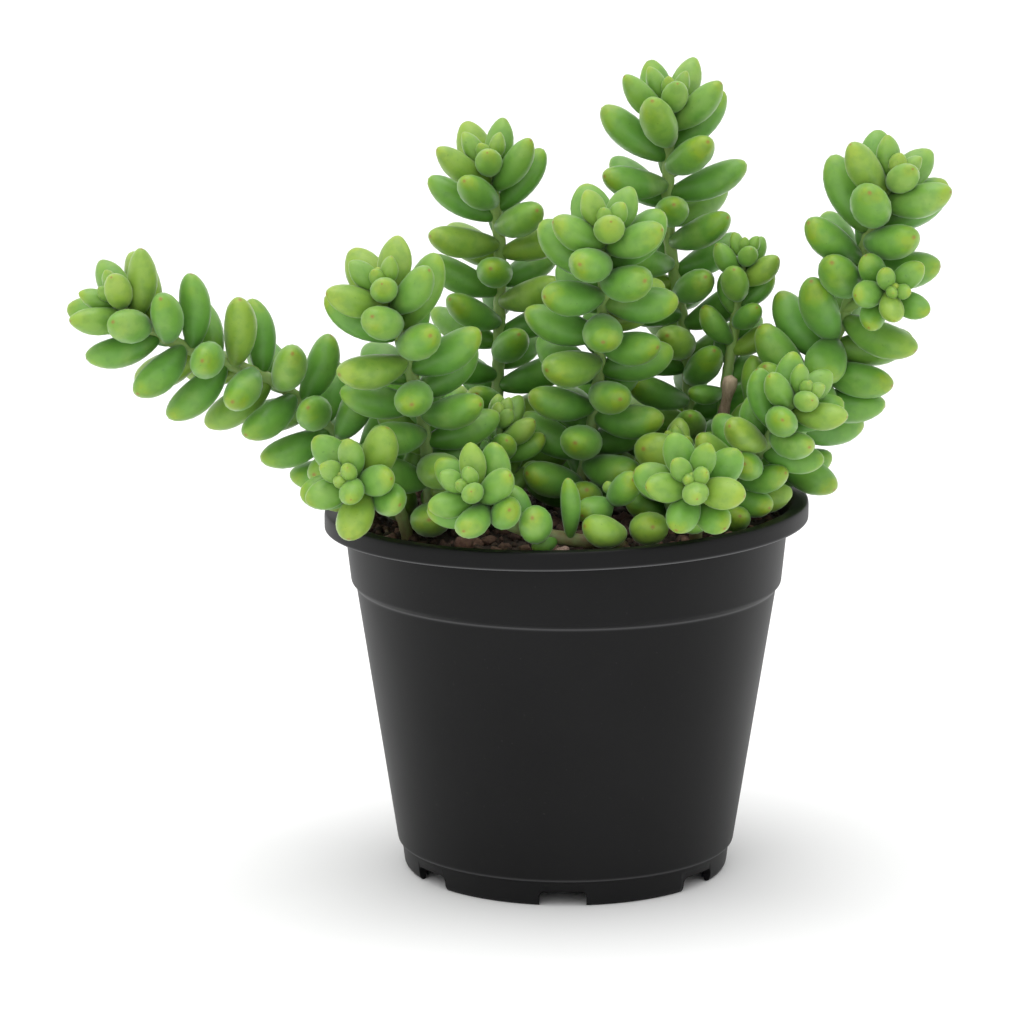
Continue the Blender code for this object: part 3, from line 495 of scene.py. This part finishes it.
def stem_look():
    """Young stem skin: pale waxy green that turns tan and corky toward the root, with a fine grain."""
    look = bpy.data.materials.new("stem_skin")
    look.use_nodes = True
    tree, link = look.node_tree, look.node_tree.links.new
    shader = tree.nodes["Principled BSDF"]
    age = tree.nodes.new("ShaderNodeAttribute")
    age.attribute_name = "height"
    noise = tree.nodes.new("ShaderNodeTexNoise")
    noise.inputs["Scale"].default_value = 420
    noise.inputs["Detail"].default_value = 4
    link(tree.nodes.new("ShaderNodeTexCoord").outputs["Object"], noise.inputs["Vector"])
    patchy = tree.nodes.new("ShaderNodeMath")
    patchy.operation = "MULTIPLY_ADD"
    patchy.inputs[1].default_value = 0.35
    link(noise.outputs["Fac"], patchy.inputs[0])
    link(age.outputs["Fac"], patchy.inputs[2])
    ramp = tree.nodes.new("ShaderNodeValToRGB")
    woody, green = ramp.color_ramp.elements
    woody.position, woody.color = 0.16, (0.17, 0.12, 0.06, 1)
    green.position, green.color = 0.42, (0.21, 0.33, 0.11, 1)
    top = ramp.color_ramp.elements.new(0.95)
    top.color = (0.30, 0.45, 0.13, 1)
    link(patchy.outputs["Value"], ramp.inputs["Fac"])
    link(ramp.outputs["Color"], shader.inputs["Base Color"])
    shader.inputs["Roughness"].default_value = 0.5
    shader.inputs["Subsurface Weight"].default_value = 0.15
    shader.inputs["Subsurface Scale"].default_value = 0.0015
    bump = tree.nodes.new("ShaderNodeBump")
    bump.inputs["Strength"].default_value = 0.35
    bump.inputs["Distance"].default_value = 0.0002
    link(noise.outputs["Fac"], bump.inputs["Height"])
    link(bump.outputs["Normal"], shader.inputs["Normal"])
    return look


stem_skin = stem_look()
for name, (route, radius) in STEMS.items():
    route = smooth_route(route)
    arc = frames(route)[0]
    s = np.linspace(0, arc[-1] - 0.8, int(arc[-1] / STEM_STEP))
    knuckle = 1 + 0.05 * np.cos(2 * np.pi * s / KNUCKLE_STEP)
    path = at(route, arc, s)
    points = bar(path, stem_radius(radius, arc[-1] - s) * knuckle, STEM_SIDES)
    level = np.concatenate([path[:1, 2], np.repeat(path[:, 2], STEM_SIDES), path[-1:, 2]])
    height = np.clip((level - SOIL_TOP) / GREEN_BY, 0, 1)
    stem = piece(name + "_stem", points, *closed_faces(len(s), STEM_SIDES), stem_skin, {"height": height})
    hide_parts("shoot_right" if name == "side_rosette" else name)


# The dry stub: what is left of an old stem that was cut. It is corky and brown, and its end, where it healed
# over, is paler and thicker.

STUB_ROUTE, STUB_RADIUS, STUB_SIDES = [(37.5, 4, 86), (40, 4, 110), (44, 3, 133)], 1.9, 14


def cork_look():
    """Dry corky stem: tan to grey-brown streaks that run along it, cracked and quite rough."""
    look = earth_look("cork", (0.10, 0.06, 0.035), (0.52, 0.40, 0.29), 1.6)
    tree = look.node_tree
    stretch = tree.nodes.new("ShaderNodeMapping")
    stretch.inputs["Scale"].default_value = (1, 1, 0.25)
    noise = next(n for n in tree.nodes if n.bl_idname == "ShaderNodeTexNoise")
    tree.links.new(tree.nodes["Texture Coordinate"].outputs["Object"], stretch.inputs["Vector"])
    tree.links.new(stretch.outputs["Vector"], noise.inputs["Vector"])
    return look


stub_path = smooth_route(STUB_ROUTE, 30)
swell = np.linspace(0, 1, len(stub_path))
stub_radii = STUB_RADIUS * (0.78 + 0.06 * np.cos(swell * 40) + 0.3 * np.exp(-((swell - 0.97) / 0.05)**2))
stub_tone = np.concatenate([[0.05], np.repeat(0.05 + 0.85 * swell**10, STUB_SIDES), [0.95]])
stub = piece("stub_bark", bar(stub_path, stub_radii, STUB_SIDES), *closed_faces(len(stub_path), STUB_SIDES),
             cork_look(), {"tone": stub_tone})
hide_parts("dry_stub")


# Leaves in general: each is a plump water-filled body, round below and flatter above, narrow at the neck, and
# its tip ends in a tiny brown point. They stand round the stem a golden angle apart, small and upright at the
# tip and larger and spread below. A thin bloom of wax makes them matte.

NECK, PEAK, DEPTH, FLAT_TOP = 0.33, 0.56, 0.92, 0.88
BALLS = np.array([0.22, 0.4, 0.56, 0.72, 0.86])
RIM_BEAD = (62.9, 97.4, 3.1)
GOLDEN_ANGLE, CLOSED_PITCH, YOUNGEST_SIZE = 137.5, 12, 0.2


def half_width(x, blunt):
    """A leaf's half width at x from neck (0) to tip (1), as a share of its greatest half width.

    It rises as a quarter sine from the neck to the widest place and falls as the root of 1 - q^blunt.
    """
    rise = NECK + (1 - NECK) * np.sin(np.clip(x / PEAK, 0, 1) * np.pi / 2)
    q = np.clip((x - PEAK) / (1 - PEAK), 0, 1)
    return np.where(x < PEAK, rise, np.sqrt(np.clip(1 - q**blunt, 0, 1)))


def bluntness(age):
    """The power in half_width: 1.6 in the youngest leaf and 2.5, which is rounder, in a ripe one."""
    return 1.6 + 0.9 * age


def grown(name, seed, leaves, spacing, length, width, pitch, turn, bud, extras):
    """The leaves of a shoot before they touch anything, counted k = 0, 1, 2... from the tip down.

    Leaf k sits spacing k^2 / (k + 1.1 bud) back from the tip, turned 137.5 degrees from the last. Its size
    rises from a fifth as a quarter sine to the power 1.1, to full at k = bud. Its pitch opens from 12 degrees
    to the steepest as k / 1.5 bud to the power 1.1. Old leaves named in extras come after the counted ones.
    """
    rng = np.random.default_rng(seed)
    points, radius = STEMS[name]
    route = smooth_route(points)
    arc, along, side = frames(route)
    k = np.arange(leaves)
    back = spacing * k**2 / (k + 1.1 * bud) + 0.3
    age = np.clip(k / bud, 0, 1)
    opened = np.clip(k / (1.5 * bud), 0, 1)**1.1
    size = YOUNGEST_SIZE + (1 - YOUNGEST_SIZE) * np.sin(age * np.pi / 2)**1.1
    size = size * (1 + rng.uniform(-0.06, 0.06, leaves))
    pitch = CLOSED_PITCH + (pitch - CLOSED_PITCH) * opened + rng.uniform(-5, 5, leaves) * opened
    turn = turn + GOLDEN_ANGLE * k + rng.uniform(-7, 7, leaves)
    length = length * size
    width = width * np.clip(0.1 + 0.9 * size**0.8, 0, 1.1) * (1 + rng.uniform(-0.05, 0.05, leaves))
    bend = 0.10 + 0.10 * rng.random(leaves)
    s = arc[-1] - back
    if extras:
        way, more_turn, more_pitch, more_length, more_width = np.array(extras, float).T
        s, turn = np.concatenate([s, way * arc[-1]]), np.concatenate([turn, more_turn])
        pitch, length = np.concatenate([pitch, more_pitch]), np.concatenate([length, more_length])
        width, age = np.concatenate([width, more_width]), np.concatenate([age, np.ones(len(way))])
        bend = np.concatenate([bend, np.full(len(way), 0.1)])
    pitch, turn = np.radians(pitch)[:, None], np.radians(turn)[:, None]
    t, n = unit(at(along, arc, s)), at(side, arc, s)
    n = unit(n - t * np.sum(n * t, axis=1, keepdims=True))
    out = np.cos(turn) * n + np.sin(turn) * np.cross(t, n)
    neck = at(route, arc, s) + out * (stem_radius(radius, arc[-1] - s) * 0.12)[:, None]
    keep = (neck[:, 2] > SOIL_TOP + 1.5) & (s > 0)
    made = dict(neck=neck, dir=np.cos(pitch) * t + np.sin(pitch) * out,
                up=np.sin(pitch) * t - np.cos(pitch) * out, length=length, width=width, age=age, bend=bend,
                old=np.arange(len(s)) >= leaves)
    return {key: value[keep] for key, value in made.items()}


def leaf_balls(leaf, size=1.0):
    """Five balls that fill each leaf from neck to tip: their centres and radii."""
    radius = leaf["width"][:, None] / 2 * half_width(BALLS[None], bluntness(leaf["age"])[:, None]) * size
    length = leaf["length"][:, None] * size
    centre = (leaf["neck"][:, None] + (length * BALLS)[..., None] * leaf["dir"][:, None]
              + (length * leaf["bend"][:, None] * BALLS**2)[..., None] * leaf["up"][:, None])
    return centre, radius


def clear_of_balls(centre, radius, others, other_radius, gap):
    """For each ball, the push that clears it of the other ball it is deepest in, and that depth."""
    squared = (centre**2).sum(-1)[:, None] + (others**2).sum(-1)[None] - 2 * centre @ others.T
    distance = np.sqrt(np.maximum(squared, 1e-6))
    depth = radius[:, None] + other_radius[None] + gap - distance
    rows, worst = np.arange(len(centre)), depth.argmax(axis=1)
    deepest = np.maximum(depth[rows, worst], 0)
    away = (centre - others[worst]) / distance[rows, worst][:, None]
    return away * deepest[:, None], deepest


def clear_of_pot(centre, radius, gap):
    """The push that clears each ball of the soil and of the pot's rim, and its depth."""
    bead_radius, bead_height, bead_reach = RIM_BEAD
    rho = np.hypot(centre[:, 0], centre[:, 1])
    out = np.stack([centre[:, 0] / rho, centre[:, 1] / rho, 0 * rho], axis=1)
    sunk = np.maximum(SOIL_TOP + radius + gap - centre[:, 2], 0) * (rho < 60)
    across = rho - bead_radius
    above = centre[:, 2] - bead_height - RIM_TILT * centre[:, 0] / RIM
    distance = np.hypot(across, above) + 1e-6
    inside_by = np.maximum(bead_reach + radius + gap - distance, 0)
    push = out * (across / distance * inside_by)[:, None]
    push[:, 2] += above / distance * inside_by + sunk
    return push, np.maximum(sunk, inside_by)


PRESSED, EASE, SWING, LEAST_TURN = 0.82, 0.4, 0.56, 0.2
SIZES_TRIED = (0.92, 0.84, 0.76, 0.68, 0.0)


def settled(leaf, others, other_radius, gap=0.25, rounds=60, reach=0.55):
    """Turns each leaf about its neck until it clears everything already placed, and the soil and rim.

    Leaves of one shoot may press together until their balls are 0.82 of their radii apart. A ripe leaf may
    turn further from where it grew than a young one. A leaf that still has no room grows smaller, and one
    with none at all is left off.
    """
    count, balls = len(leaf["length"]), len(BALLS)
    start = leaf["dir"].copy()
    near = np.all(np.abs(others - leaf["neck"].mean(0)) < np.ptp(leaf["neck"], axis=0) / 2 + 45, axis=1)
    others, other_radius = others[near], other_radius[near]
    same = np.repeat(np.arange(count), balls)
    for _ in range(rounds):
        centre, radius = leaf_balls(leaf)
        centre, radius = centre.reshape(-1, 3), radius.reshape(-1)
        push = clear_of_balls(centre, radius, others, other_radius, gap)[0]
        push += clear_of_pot(centre, radius, gap)[0]
        squared = (centre**2).sum(-1)[:, None] + (centre**2).sum(-1)[None] - 2 * centre @ centre.T
        distance = np.sqrt(np.maximum(squared, 1e-6))
        allowed = PRESSED * (radius[:, None] + radius[None])
        depth = np.where(same[:, None] == same[None], -1, allowed - distance)
        rows, worst = np.arange(len(centre)), depth.argmax(axis=1)
        deepest = np.maximum(depth[rows, worst], 0) / distance[rows, worst]
        push += EASE * (centre - centre[worst]) * deepest[:, None]
        lever = np.tile(BALLS, count) * np.repeat(leaf["length"], balls)
        twist = (push / lever[:, None]).reshape(count, balls, 3) * BALLS[None, :, None]
        leaf["dir"] = unit(leaf["dir"] + SWING * twist.sum(axis=1))
        away = leaf["dir"] - start
        far = np.maximum(np.linalg.norm(away, axis=1, keepdims=True), 1e-6)
        leaf["dir"] = unit(start + away * np.minimum(1, (LEAST_TURN + reach * leaf["age"][:, None]) / far))
        leaf["up"] = unit(leaf["up"] - leaf["dir"] * np.sum(leaf["up"] * leaf["dir"], axis=1, keepdims=True))
    size = np.ones(count)
    for smaller in SIZES_TRIED:
        centre, radius = leaf_balls(leaf, size[:, None])
        centre, radius = centre.reshape(-1, 3), radius.reshape(-1)
        depth = np.maximum(clear_of_balls(centre, radius, others, other_radius, 0.12)[1],
                           clear_of_pot(centre, radius, 0.1)[1])
        size = np.where(depth.reshape(count, balls).max(axis=1) > 0, smaller, size)
    leaf["length"], leaf["width"] = leaf["length"] * size, leaf["width"] * size
    return {key: value[size > 0] for key, value in leaf.items()}


LEAF_ROWS = np.array([0.03, 0.17, 0.38, 0.62, 0.82, 0.955])
LEAF_SIDES = 8
FULLER, TIP_REACH = 1.17, 1.025


def leaf_surface(leaf):
    """The skins of many leaves at once, as points, quads and triangles.

    At x along and a round, a point is neck + x L dir + (W/2) w(x) cos a side
    + (D W/2 w(x) sin a + L bend x^2) up, with sin a made less above, where the leaf is flatter. Past the
    widest place w is raised to the power 1.45 in the youngest leaf and 1.05 in a ripe one, which points the
    tip. The neck and the tip are poles. FULLER makes up for what the smoothing takes off.
    """
    a = -2 * np.pi * np.arange(LEAF_SIDES) / LEAF_SIDES
    x = LEAF_ROWS[None, :, None]
    share = half_width(x, bluntness(leaf["age"])[:, None, None])
    share = FULLER * np.where(x < PEAK, share, share**(1.45 - 0.4 * leaf["age"])[:, None, None])
    half, length = leaf["width"][:, None, None] / 2, leaf["length"][:, None, None]
    over = half * share * np.cos(a)
    rise = DEPTH * half * share * np.where(np.sin(a) > 0, FLAT_TOP, 1) * np.sin(a)
    rise = rise + length * leaf["bend"][:, None, None] * x**2
    side = np.cross(leaf["dir"], leaf["up"])
    skin = (leaf["neck"][:, None, None] + (length * x + 0 * over)[..., None] * leaf["dir"][:, None, None]
            + over[..., None] * side[:, None, None] + rise[..., None] * leaf["up"][:, None, None])
    bent = leaf["dir"] + leaf["bend"][:, None] * leaf["up"]
    tip = leaf["neck"] + TIP_REACH * leaf["length"][:, None] * bent
    count, rows = len(tip), len(LEAF_ROWS)
    points = np.concatenate([leaf["neck"][:, None], skin.reshape(count, -1, 3), tip[:, None]], axis=1)
    quads, triangles = closed_faces(rows, LEAF_SIDES)
    shift = (np.arange(count) * points.shape[1])[:, None, None]
    return points, (quads + shift).reshape(-1, 4), (triangles + shift).reshape(-1, 3)


def leaf_look(name, ripe, young, yellowed=0.0):
    """Leaf skin: colours from neck to tip for a ripe leaf and for a young one, mixed by the leaf's age.

    Over them lie soft mottles, faint darker dots, a tiny brown point, and a bloom of wax that scatters
    light at the edges. Light passes a little way through the flesh. The dark green at a ripe leaf's neck is
    partly its own colour and partly painted shade where the necks crowd inside the shoot.
    """
    look = bpy.data.materials.new(name)
    look.use_nodes = True
    tree, link = look.node_tree, look.node_tree.links.new
    shader = tree.nodes["Principled BSDF"]
    place = tree.nodes.new("ShaderNodeTexCoord").outputs["Object"]

    def number(key):
        node = tree.nodes.new("ShaderNodeAttribute")
        node.attribute_name = key
        return node.outputs["Fac"]

    def noise(scale, detail):
        node = tree.nodes.new("ShaderNodeTexNoise")
        node.inputs["Scale"].default_value = scale
        node.inputs["Detail"].default_value = detail
        link(place, node.inputs["Vector"])
        return node.outputs["Fac"]

    def spread(value, least, most, low, high):
        node = tree.nodes.new("ShaderNodeMapRange")
        node.interpolation_type = "SMOOTHSTEP"
        node.inputs["From Min"].default_value, node.inputs["From Max"].default_value = least, most
        node.inputs["To Min"].default_value, node.inputs["To Max"].default_value = low, high
        link(value, node.inputs["Value"])
        return node.outputs["Result"]

    def mixed(share, one, two, way="MIX"):
        node = tree.nodes.new("ShaderNodeMix")
        node.data_type, node.blend_type = "RGBA", way
        link(share, node.inputs["Factor"])
        for socket, colour in (("A", one), ("B", two)):
            if isinstance(colour, tuple):
                node.inputs[socket].default_value = (*colour, 1)
            else:
                link(colour, node.inputs[socket])
        return node.outputs["Result"]

    def ramp(value, stops):
        node = tree.nodes.new("ShaderNodeValToRGB")
        node.color_ramp.interpolation = "EASE"
        for i, (position, colour) in enumerate(stops):
            stop = node.color_ramp.elements[i] if i < 2 else node.color_ramp.elements.new(position)
            stop.position, stop.color = position, (*colour, 1)
        link(value, node.inputs["Fac"])
        return node.outputs["Color"]

    wander = tree.nodes.new("ShaderNodeMath")
    wander.operation = "MULTIPLY_ADD"
    wander.inputs[1].default_value = 0.24
    wander.use_clamp = True
    link(spread(noise(130, 3), 0.25, 0.75, -0.5, 0.5), wander.inputs[0])
    link(number("along"), wander.inputs[2])
    along = wander.outputs["Value"]
    skin = mixed(number("age"), ramp(along, young), ramp(along, ripe))
    skin = mixed(spread(number("tone"), 0.66, 1.0, yellowed, 0.55), skin, (0.34, 0.46, 0.055))
    skin = mixed(spread(noise(75, 4), 0.52, 0.72, 0, 0.28), skin, (0.42, 0.55, 0.16))
    skin = mixed(spread(noise(340, 5), 0.42, 0.70, 0, 0.30), skin, (0.075, 0.215, 0.040))
    skin = mixed(spread(noise(1150, 2), 0.68, 0.78, 0, 0.34), skin, (0.05, 0.12, 0.03))
    skin = mixed(spread(number("along"), 0.984, 1.0, 0, 0.8), skin, (0.30, 0.13, 0.03))
    link(skin, shader.inputs["Base Color"])
    link(spread(noise(300, 3), 0.3, 0.7, 0.36, 0.48), shader.inputs["Roughness"])
    shader.inputs["Subsurface Weight"].default_value = 0.22
    shader.inputs["Subsurface Radius"].default_value = (0.7, 1.0, 0.25)
    shader.inputs["Subsurface Scale"].default_value = 0.0022
    shader.inputs["Specular IOR Level"].default_value = 0.42
    shader.inputs["Sheen Weight"].default_value = 0.30
    shader.inputs["Sheen Roughness"].default_value = 0.35
    shader.inputs["Sheen Tint"].default_value = (0.90, 1.0, 0.88, 1)
    bump = tree.nodes.new("ShaderNodeBump")
    bump.inputs["Strength"].default_value = 0.35
    bump.inputs["Distance"].default_value = 0.0003
    link(noise(330, 3), bump.inputs["Height"])
    link(bump.outputs["Normal"], shader.inputs["Normal"])
    return look


# Ripe colours from neck to tip: the dark first stop is partly the leaf's own darker base and partly painted
# shade of the crowded necks.
RIPE_WITH_NECK_SHADE = [(0.0, (0.078, 0.220, 0.024)), (1.0, (0.25, 0.39, 0.028)), (0.40, (0.132, 0.330, 0.052)),
        (0.82, (0.160, 0.356, 0.050)), (0.96, (0.210, 0.385, 0.034))]
YOUNG = [(0.0, (0.165, 0.335, 0.038)), (1.0, (0.30, 0.43, 0.05)), (0.5, (0.230, 0.405, 0.076)),
         (0.88, (0.250, 0.418, 0.070))]
leaf_skin = leaf_look("leaf_skin", RIPE_WITH_NECK_SHADE, YOUNG)
STUB_SPACE, STEM_SPACE, LUMP_REACH, LUMP_LIFT = 0.5, 0.35, 0.56, 0.35
placed = [smooth_route(STUB_ROUTE, 8)]
placed_radius = [np.full(len(placed[0]), STUB_RADIUS + STUB_SPACE)]


def leaves_piece(name, leaf, look, seed, old_tone):
    """One mesh of leaf skins that knows, at each point, the way along its leaf, the leaf's age and tone."""
    points, quads, triangles = leaf_surface(leaf)
    count, each = points.shape[:2]
    along = np.concatenate([[0], np.repeat(LEAF_ROWS, LEAF_SIDES), [1.0]])
    tone = np.where(leaf["old"], old_tone, np.random.default_rng(seed).uniform(0, 1, count))
    values = {"along": np.tile(along, count), "age": np.repeat(leaf["age"], each)}
    values["tone"] = np.repeat(tone, each)
    made = piece(name, points.reshape(-1, 3), quads, triangles, look, values)
    rounding = made.modifiers.new("rounding", "SUBSURF")
    rounding.levels = rounding.render_levels = 1
    return made


def leaves_on(name, seed, leaves, spacing, length, width, pitch=80, turn=0, bud=10, extras=(), old_tone=0.7,
              node=None):
    """Grows the leaves of one shoot, clear of everything already placed, and makes them one piece."""
    routes = {other: smooth_route(route, 6) for other, (route, _) in STEMS.items() if other != name}
    others = np.vstack([*placed, *routes.values()])
    stem_radii = [np.full(len(route), STEMS[other][1] + STEM_SPACE) for other, route in routes.items()]
    radii = np.concatenate([*placed_radius, *stem_radii])
    leaf = settled(grown(name, seed, leaves, spacing, length, width, pitch, turn, bud, extras), others, radii)
    centre, radius = leaf_balls(leaf)
    placed.append(centre.reshape(-1, 3))
    placed_radius.append(radius.reshape(-1))
    made = leaves_piece(name + "_leaves", leaf, leaf_skin, seed, old_tone)
    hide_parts(node or name)


# Fallen leaves: ripe ones that were knocked off and lie on the mix. They are yellower than those still held,
# with paler blotches.

loose_skin = leaf_look("loose_leaf_skin", RIPE_WITH_NECK_SHADE, YOUNG, yellowed=0.35)
FALLEN = {
    "loose_leaf_1": ((14.5, -51.6, 102.0), (-0.9, -0.5, 0.15), 12.5, 9.8),
    "loose_leaf_2": ((19.5, -41.9, 102.1), (0.15, -1.0, 0.06), 13.0, 10.2),
    "loose_leaf_3": ((-12.0, 46.0, 100.6), (0.9, 0.6, 0.05), 14.0, 8.0),
    "loose_leaf_4": ((-47.0, 14.0, 100.4), (-0.3, 1.0, 0.05), 13.0, 8.0),
    "loose_leaf_5": ((44.7, 23.1, 101.2), (0.2, 1.0, 0.05), 12.0, 7.4),
}
for seed, (name, (neck, way, length, width)) in enumerate(FALLEN.items()):
    way = unit(np.array(way))
    upward = unit(np.cross(np.cross(way, (0, 0, 1.0)), way))
    leaf = dict(neck=np.array([neck]), dir=way[None], up=upward[None], length=np.array([length]),
                width=np.array([width]), age=np.ones(1), bend=np.full(1, 0.12), old=np.ones(1, bool))
    fallen = leaves_piece(name + "_skin", leaf, loose_skin, seed, 0.8)
    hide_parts(name)
    centre, radius = leaf_balls(leaf)
    placed.append(centre.reshape(-1, 3))
    placed_radius.append(radius.reshape(-1))
for name, (spot, size, _) in PUMICE_SPOTS.items():
    placed.append(np.array([(*spot, SOIL_TOP + LUMP_LIFT + LUMP_REACH * size)]))
    placed_radius.append(np.array([LUMP_REACH * size]))


# The trailing shoot on the left: the longest lean, bent down over the rim by its own weight and turned up
# again at the tip.

leaves_on("shoot_trailing", 100, leaves=44, spacing=3.0, length=20.5, width=9.8, pitch=76, turn=20)


# The left shoot: upright, thick with leaves that stand almost square to it.

leaves_on("shoot_left", 101, leaves=35, spacing=3.1, length=21, width=10.5, pitch=84)


# The back left shoot: upright and slender, behind the middle ones.

leaves_on("shoot_back_left", 102, leaves=42, spacing=3.2, length=21.5, width=9.6, pitch=80)


# The centre shoot: it leans toward the front, so its round tip is seen almost from above.

leaves_on("shoot_centre", 103, leaves=42, spacing=2.9, length=20.5, width=11.0, pitch=86)


# The tall shoot: the highest, with its leaves more openly spaced.

leaves_on("shoot_tall", 104, leaves=45, spacing=3.2, length=22.5, width=9.8, pitch=80)


# The right shoot: thick, leaning out, with the largest leaves. A small side rosette branches from it.

leaves_on("shoot_right", 105, leaves=39, spacing=3.4, length=22, width=11.2, pitch=76,
          extras=[(0.28, 200, 60, 18, 10.5), (0.46, 190, 74, 18, 10.8), (0.56, 176, 98, 17, 11.4)])
leaves_on("side_rosette", 106, leaves=10, spacing=2.2, length=15, width=7.6, pitch=72, bud=8,
          node="shoot_right")


# The small shoot between the tall and the right one: thin, with short young leaves.

leaves_on("shoot_small", 107, leaves=20, spacing=3.2, length=13.5, width=7.4, pitch=72, bud=9)


# The low right shoot: it leans over the rim, and two old leaves are left lower on its stem.

leaves_on("shoot_low_right", 108, leaves=27, spacing=2.7, length=17, width=8.8,
          extras=[(0.36, 262, 92, 13, 8.4), (0.55, 38, 72, 17.5, 9.5)])


# Front and side rosettes: short young shoots that lie over the rim, each a tight head of pale leaves. The
# front one grows from a stem that lies along the rim and has kept four single leaves.

leaves_on("rosette_left", 109, leaves=14, spacing=2.0, length=17, width=9.2, bud=10)
leaves_on("rosette_front", 110, leaves=13, spacing=2.2, length=16.5, width=8.8, pitch=78, bud=10,
          extras=[(0.44, 262, 84, 18.5, 6), (0.49, 150, 80, 8, 5.6), (0.58, 195, 80, 11.5, 9.8),
                  (0.62, 330, 66, 13, 7.6)])
leaves_on("rosette_right", 111, leaves=13, spacing=2.0, length=16.5, width=9.0, bud=10,
          extras=[(0.5, 180, 80, 12, 8.6)])


# The short inner shoots that fill the middle, and a sprout at the front. The right one holds a big ripe leaf.

leaves_on("shoot_inner_left", 112, leaves=20, spacing=2.4, length=15, width=8.2, pitch=78)
leaves_on("shoot_inner_right", 113, leaves=20, spacing=2.3, length=16, width=8.8,
          extras=[(0.95, 177, 48, 15.5, 12.8)], old_tone=1.0)
leaves_on("sprout_front", 114, leaves=3, spacing=2.4, length=12, width=8.0, bud=9,
          extras=[(0.88, 165, 60, 12, 8.8), (0.92, 262, 14, 15, 8.6)])


# The three rosettes at the back of the pot, which match the front ones.

leaves_on("rosette_back", 115, leaves=20, spacing=2.4, length=16.5, width=8.8)
leaves_on("rosette_back_left", 116, leaves=24, spacing=2.4, length=16.5, width=8.8)
leaves_on("rosette_back_right", 117, leaves=22, spacing=2.4, length=16.5, width=8.8)


# The surroundings: a plain pale sheet that runs far behind the pot, even daylight from all round, two distant
# soft lamps, one overhead and a weak one in front, and a camera that looks down by about twelve degrees.

sheet_look = bpy.data.materials.new("pale_sheet")
sheet_look.use_nodes = True
sheet_look.node_tree.nodes["Principled BSDF"].inputs["Base Color"].default_value = (0.92, 0.92, 0.92, 1)
sheet_look.node_tree.nodes["Principled BSDF"].inputs["Roughness"].default_value = 0.9
SHEET_REACH = 40.0
corners = np.array([(-1, -1, 0), (1, -1, 0), (1, 1, 0), (-1, 1, 0)]) * SHEET_REACH
ground = bpy.data.meshes.new("pale_sheet")
ground.from_pydata(corners.tolist(), [], [(0, 1, 2, 3)])
ground.materials.append(sheet_look)
floor = bpy.data.objects.new("pale_sheet", ground)
bpy.context.scene.collection.objects.link(floor)

daylight = bpy.data.worlds.new("daylight")
daylight.use_nodes = True
daylight.node_tree.nodes["Background"].inputs["Color"].default_value = (1, 1, 1, 1)
daylight.node_tree.nodes["Background"].inputs["Strength"].default_value = 1.0
bpy.context.scene.world = daylight
bpy.context.scene.view_settings.view_transform = "Standard"


def soft_sun(name, spot, strength, spread):
    """A distant lamp that shines from a spot toward the pot, as wide in the sky as an angle in degrees."""
    lamp = bpy.data.lights.new(name, "SUN")
    lamp.energy, lamp.angle = strength, np.radians(spread)
    made = bpy.data.objects.new(name, lamp)
    bpy.context.scene.collection.objects.link(made)
    made.rotation_euler = Vector(spot).to_track_quat("Z", "Y").to_euler()


soft_sun("overhead", (-0.05, 0.05, 1.0), 1.2, 50)
soft_sun("front", (-0.3, -1.0, 0.7), 0.3, 40)

CAMERA_TILT = 11.66
lens = bpy.data.cameras.new("camera")
lens.sensor_width, lens.lens = 36, 146.85
camera = bpy.data.objects.new("camera", lens)
bpy.context.scene.collection.objects.link(camera)
camera.location = (-0.0146, -1.100, 0.324)
camera.rotation_euler = (np.pi / 2 - np.radians(CAMERA_TILT), 0, 0)
bpy.context.scene.camera = camera
